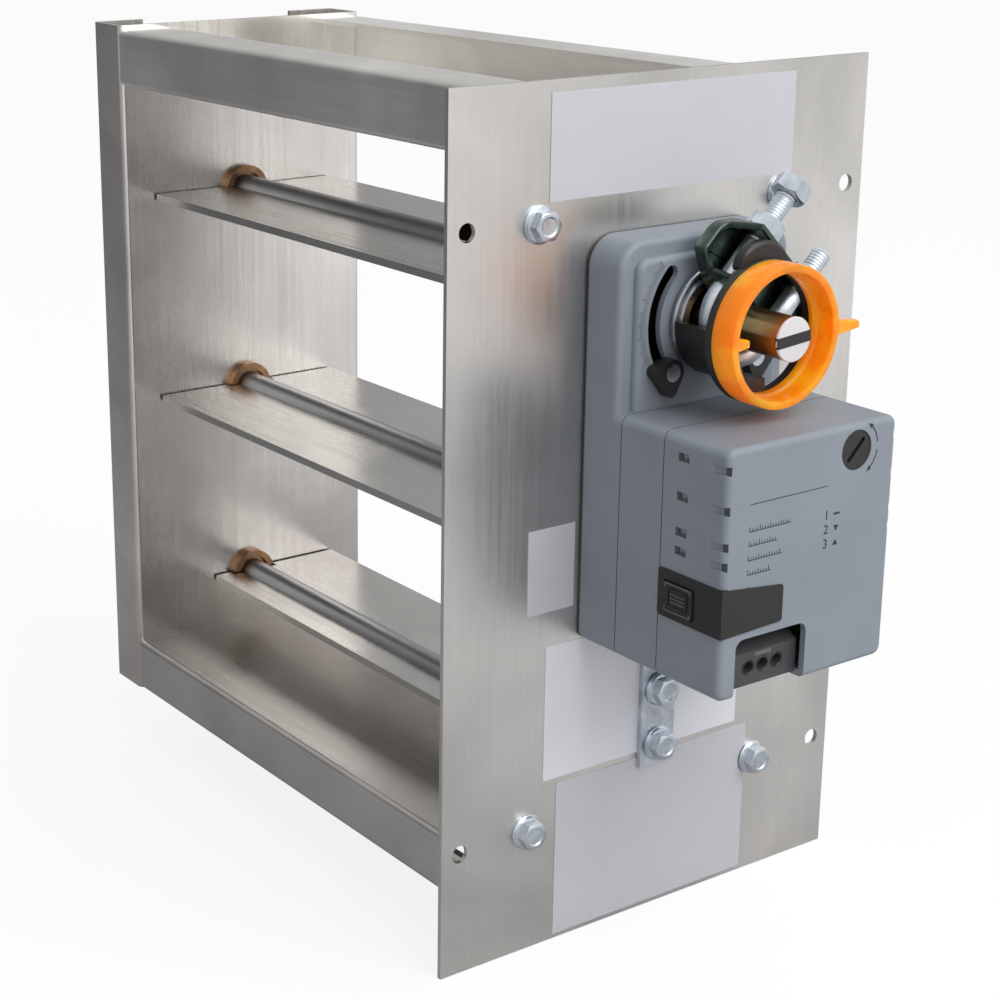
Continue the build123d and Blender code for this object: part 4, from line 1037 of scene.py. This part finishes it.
class DAMPER_OT_vent_painted_shade(bpy.types.Operator):
    """Painted shade in the block's side vents: dark slot and wedge shapes where the recesses lie in shade.
    """

    bl_idname = "damper.vent_wedges"
    bl_label = "Vent painted shade"

    def execute(self, context):
        heights = (33.0, 21.6, 11.2, 5.6)
        half_height = 1.3
        slot_low, slot_high = -1.0, -0.5
        wedge_low, wedge_high = -2.2, -1.35
        bm = bmesh.new()
        for side, edge in ((-1, block_low.y), (1, block_high.y)):
            matrix = Matrix(((1, 0, 0, 0), (0, 0, side, edge), (0, 1, 0, 0), (0, 0, 0, 1)))
            for z in heights:
                low, high = z - half_height, z + half_height
                slot = [
                    (42.2, low), (46.8, low), (46.8, low + 1.5),
                    (43.6, low + 0.5), (43.0, high), (42.2, high),
                ]
                wedge = [(55.6, low), (61.9, low), (61.9, high), (60.2, high - 0.3)]
                prism(bm, matrix, slot[::side], slot_low, slot_high)
                prism(bm, matrix, wedge[::side], wedge_low, wedge_high)
        make_piece("vent_wedges", bm, "frame", "vent_shade", "housing_grey")
        return {"FINISHED"}


class DAMPER_OT_button_marks(bpy.types.Operator):
    """Raised frames and grip bars on the release button."""

    bl_idname = "damper.button_marks"
    bl_label = "Release button marks"

    def execute(self, context):
        low, high = box("release_button")
        centre_x, centre_z = (low.x + high.x) / 2, (low.z + high.z) / 2
        matrix = Matrix(((1, 0, 0, centre_x), (0, 0, -1, low.y), (0, 1, 0, centre_z), (0, 0, 0, 1)))
        margin = 1
        wide, tall = high.x - low.x - 2 * margin, high.z - low.z - 2 * margin
        bm = bmesh.new()

        def bar(width, height, along, up, proud, corner=0.15):
            """A raised bar on the button's face."""
            prism(bm, matrix, rounded(width, height, corner, 2, (along, up)), -sunk, proud)

        line, frame_proud = 0.35, 0.18
        for side in (1, -1):
            bar(wide * 0.86, line, 0, side * tall * 0.45, frame_proud)
            for along in (-wide * 0.42, wide * 0.42):
                bar(line, 1.6, along, side * tall * 0.40, frame_proud)
        for row in (-1, 0, 1):
            bar(wide * 0.5, 0.3, 0, row * 1.15, 0.12, 0.14)
        make_piece("button_grip_marks", bm, "button", "dull_ink", "black_plastic")
        bm = bmesh.new()
        width, height, wall = wide * 0.66, tall * 0.62, 0.5
        outer = rounded(width, height, 0.5, 3)
        inner = rounded(width - 2 * wall, height - 2 * wall, 0.1, 3)
        hollow(bm, matrix, outer, inner, -sunk, 0.3)
        make_piece("button_frame", bm, "button", "black_plastic", "black_plastic")
        return {"FINISHED"}


class DAMPER_OT_socket(bpy.types.Operator):
    """Contacts, lead-in rings and a blank tag of the terminal socket."""

    bl_idname = "damper.socket"
    bl_label = "Terminal socket"

    def execute(self, context):
        high = box("terminal_socket")[1]
        hole_z, middle_y, pitch = -27.9, -10.2, 5.5
        contact = [(1.25, -5.8), (1.25, -2.6), (0.95, -2.4), (0.95, -5.8)]
        lead_in = [(1.7, -0.4), (2.35, -0.4), (2.35, 0.12), (2.2, 0.25), (1.95, 0.25), (1.7, 0.0)]
        contacts, lead_ins, tag = bmesh.new(), bmesh.new(), bmesh.new()
        for column in (-1, 0, 1):
            matrix = outward(high.x, middle_y + column * pitch, hole_z)
            skin(contacts, matrix, turned(contact, 28), closed=True)
            skin(lead_ins, matrix, turned(lead_in, 36), closed=True)
        make_piece("socket_contacts", contacts, "frame", "spindle_brass", "spindle_brass")
        make_piece("socket_lead_ins", lead_ins, "frame", "black_plastic", "black_plastic")
        outline = rounded(6.4, 1.1, 0.2, 3)
        prism(tag, outward(high.x, middle_y, -24.4), outline, -0.05, 0.08)
        make_piece("socket_blank_tag", tag, "frame", "dull_ink", "black_plastic")
        return {"FINISHED"}


class DAMPER_OT_studio(bpy.types.Operator):
    """Pale floor, white surroundings, soft lamps and the camera."""

    bl_idname = "damper.studio"
    bl_label = "Studio"

    def execute(self, context):
        settings = context.scene.damper_studio
        self.make_floor(settings)
        self.make_world()
        self.make_lamps(settings)
        self.make_camera(context)
        context.scene.view_settings.view_transform = "Standard"
        return {"FINISHED"}

    def make_floor(self, settings):
        """A wide pale floor just under the plate's lower edge, with painted shade: darker in reflections
        than to the camera, and darker still towards one side.
        """
        level = cad_box[0].z - 0.2 * MM
        mesh = bpy.data.meshes.new("studio_floor")
        reach = 6.0
        corners = [(sx * reach, sy * reach, level) for sx, sy in ((-1, -1), (1, -1), (1, 1), (-1, 1))]
        mesh.from_pydata(corners, [], [(0, 1, 2, 3)])
        floor = add_object("studio_floor", mesh)
        wiring, shader = new_material("studio_floor")
        tone = settings.floor_tone
        rays = wiring.add("ShaderNodeLightPath").outputs
        # Painted shade: for every ray but the camera's, the floor's tone falls from 0.8 to 0.2 of the floor
        # tone across one side.
        across = wiring.dot(wiring.object_place(), (0.8, 0.6, 0.0))
        falloff = wiring.spread(across, -0.7, 0.9)
        dim, bright, plain = (tone * 0.2, tone * 0.2, tone * 0.21), (tone * 0.8,) * 3, (tone,) * 3
        away = wiring.mix(falloff, (*dim, 1), (*bright, 1))
        seen_tone = wiring.mix(rays["Is Camera Ray"], away, (*plain, 1))
        wiring.fill(shader, {"Base Color": seen_tone, "Roughness": 0.9, "Specular IOR Level": 0.0})
        glow = wiring.add("ShaderNodeEmission")
        seen = wiring.math("MAXIMUM", rays["Is Camera Ray"], rays["Is Transmission Ray"])
        glow_share = wiring.math("MULTIPLY", seen, 0.86)
        blend = wiring.add("ShaderNodeMixShader", {0: glow_share, 1: shader.outputs[0], 2: glow.outputs[0]})
        output = next(node for node in wiring.tree.nodes if node.type == "OUTPUT_MATERIAL")
        wiring.fill(output, {"Surface": blend.outputs[0]})
        mesh.materials.append(materials["studio_floor"])

    def make_world(self):
        """White to the camera and through clear plastic, with a soft falloff for light and reflections."""
        world = bpy.data.worlds.new("soft_studio")
        world.use_nodes = True
        world.node_tree.nodes.clear()
        wiring = Wiring(world.node_tree)
        direction = wiring.add("ShaderNodeTexCoord").outputs["Generated"]
        bright_side = Vector((0.70, 0.38, 0.60)).normalized()
        soft = wiring.spread(wiring.dot(direction, bright_side), -0.7, 0.75, 0.13)
        grey = wiring.add("ShaderNodeCombineColor", {0: soft, 1: soft, 2: soft}).outputs[0]
        rays = wiring.add("ShaderNodeLightPath").outputs
        seen = wiring.math("MAXIMUM", rays["Is Camera Ray"], rays["Is Transmission Ray"])
        colour = wiring.mix(seen, grey, (1.0, 1.0, 1.0, 1.0))
        light = wiring.add("ShaderNodeBackground", {"Color": colour})
        wiring.add("ShaderNodeOutputWorld", {"Surface": light.outputs[0]})
        bpy.context.scene.world = world

    def make_lamps(self, settings):
        """A large key lamp above the actuator's side and a weak fill on the open side."""
        for name, place, size, power in (
            ("key_lamp", (1.1, 0.25, 1.15), 1.3, settings.key_power),
            ("fill_lamp", (-0.1, -1.5, 0.55), 1.2, settings.fill_power),
        ):
            lamp = bpy.data.lights.new(name, "AREA")
            lamp.shape = "SQUARE"
            lamp.size = size
            lamp.energy = power
            holder = add_object(name, lamp)
            holder.location = place
            holder.rotation_euler = (-Vector(place)).to_track_quat("-Z", "Y").to_euler()

    def make_camera(self, context):
        """A camera above and to the left of the plate, with the framing shifted to centre the damper."""
        lens = bpy.data.cameras.new("main_camera")
        lens.sensor_width = 36.0
        lens.lens = 74.66
        lens.shift_x = 0.1387
        lens.shift_y = -0.0701
        lens.clip_start = 0.01
        camera = add_object("main_camera", lens)
        camera.location = (0.4469, -0.4121, 0.1993)
        camera.rotation_euler = Euler((radians(73.895), radians(0.132), radians(55.712)))
        context.scene.camera = camera


steps = (
    DAMPER_OT_finishes,
    DAMPER_OT_bolts,
    DAMPER_OT_u_bolt,
    DAMPER_OT_nuts,
    DAMPER_OT_jaw,
    DAMPER_OT_seat,
    DAMPER_OT_indicator,
    DAMPER_OT_spindle_face,
    DAMPER_OT_stop_scale,
    DAMPER_OT_block_marks,
    DAMPER_OT_vent_painted_shade,
    DAMPER_OT_button_marks,
    DAMPER_OT_socket,
    DAMPER_OT_studio,
)


class DAMPER_PT_panel(bpy.types.Panel):
    """The damper's settings and the steps that build its looks."""

    bl_label = "Volume control damper"
    bl_idname = "DAMPER_PT_panel"
    bl_space_type = "VIEW_3D"
    bl_region_type = "UI"
    bl_category = "Damper"

    def draw(self, context):
        scene = context.scene
        for group in (scene.damper_finish, scene.damper_fastening, scene.damper_studio):
            section = self.layout.box()
            for name in group.bl_rna.properties.keys():
                if name not in ("rna_type", "name"):
                    section.prop(group, name)
        for step in steps:
            self.layout.operator(step.bl_idname)


classes = (DamperFinish, DamperFastening, DamperStudio) + steps + (DAMPER_PT_panel,)


def register():
    for kind in classes:
        bpy.utils.register_class(kind)
    bpy.types.Scene.damper_finish = PointerProperty(type=DamperFinish)
    bpy.types.Scene.damper_fastening = PointerProperty(type=DamperFastening)
    bpy.types.Scene.damper_studio = PointerProperty(type=DamperStudio)


def unregister():
    del bpy.types.Scene.damper_studio
    del bpy.types.Scene.damper_fastening
    del bpy.types.Scene.damper_finish
    for kind in reversed(classes):
        bpy.utils.unregister_class(kind)


def main():
    """Registers the add-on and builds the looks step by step."""
    register()
    for step in steps:
        group, name = step.bl_idname.split(".")
        getattr(getattr(bpy.ops, group), name)()


if __name__ == "__main__":
    main()
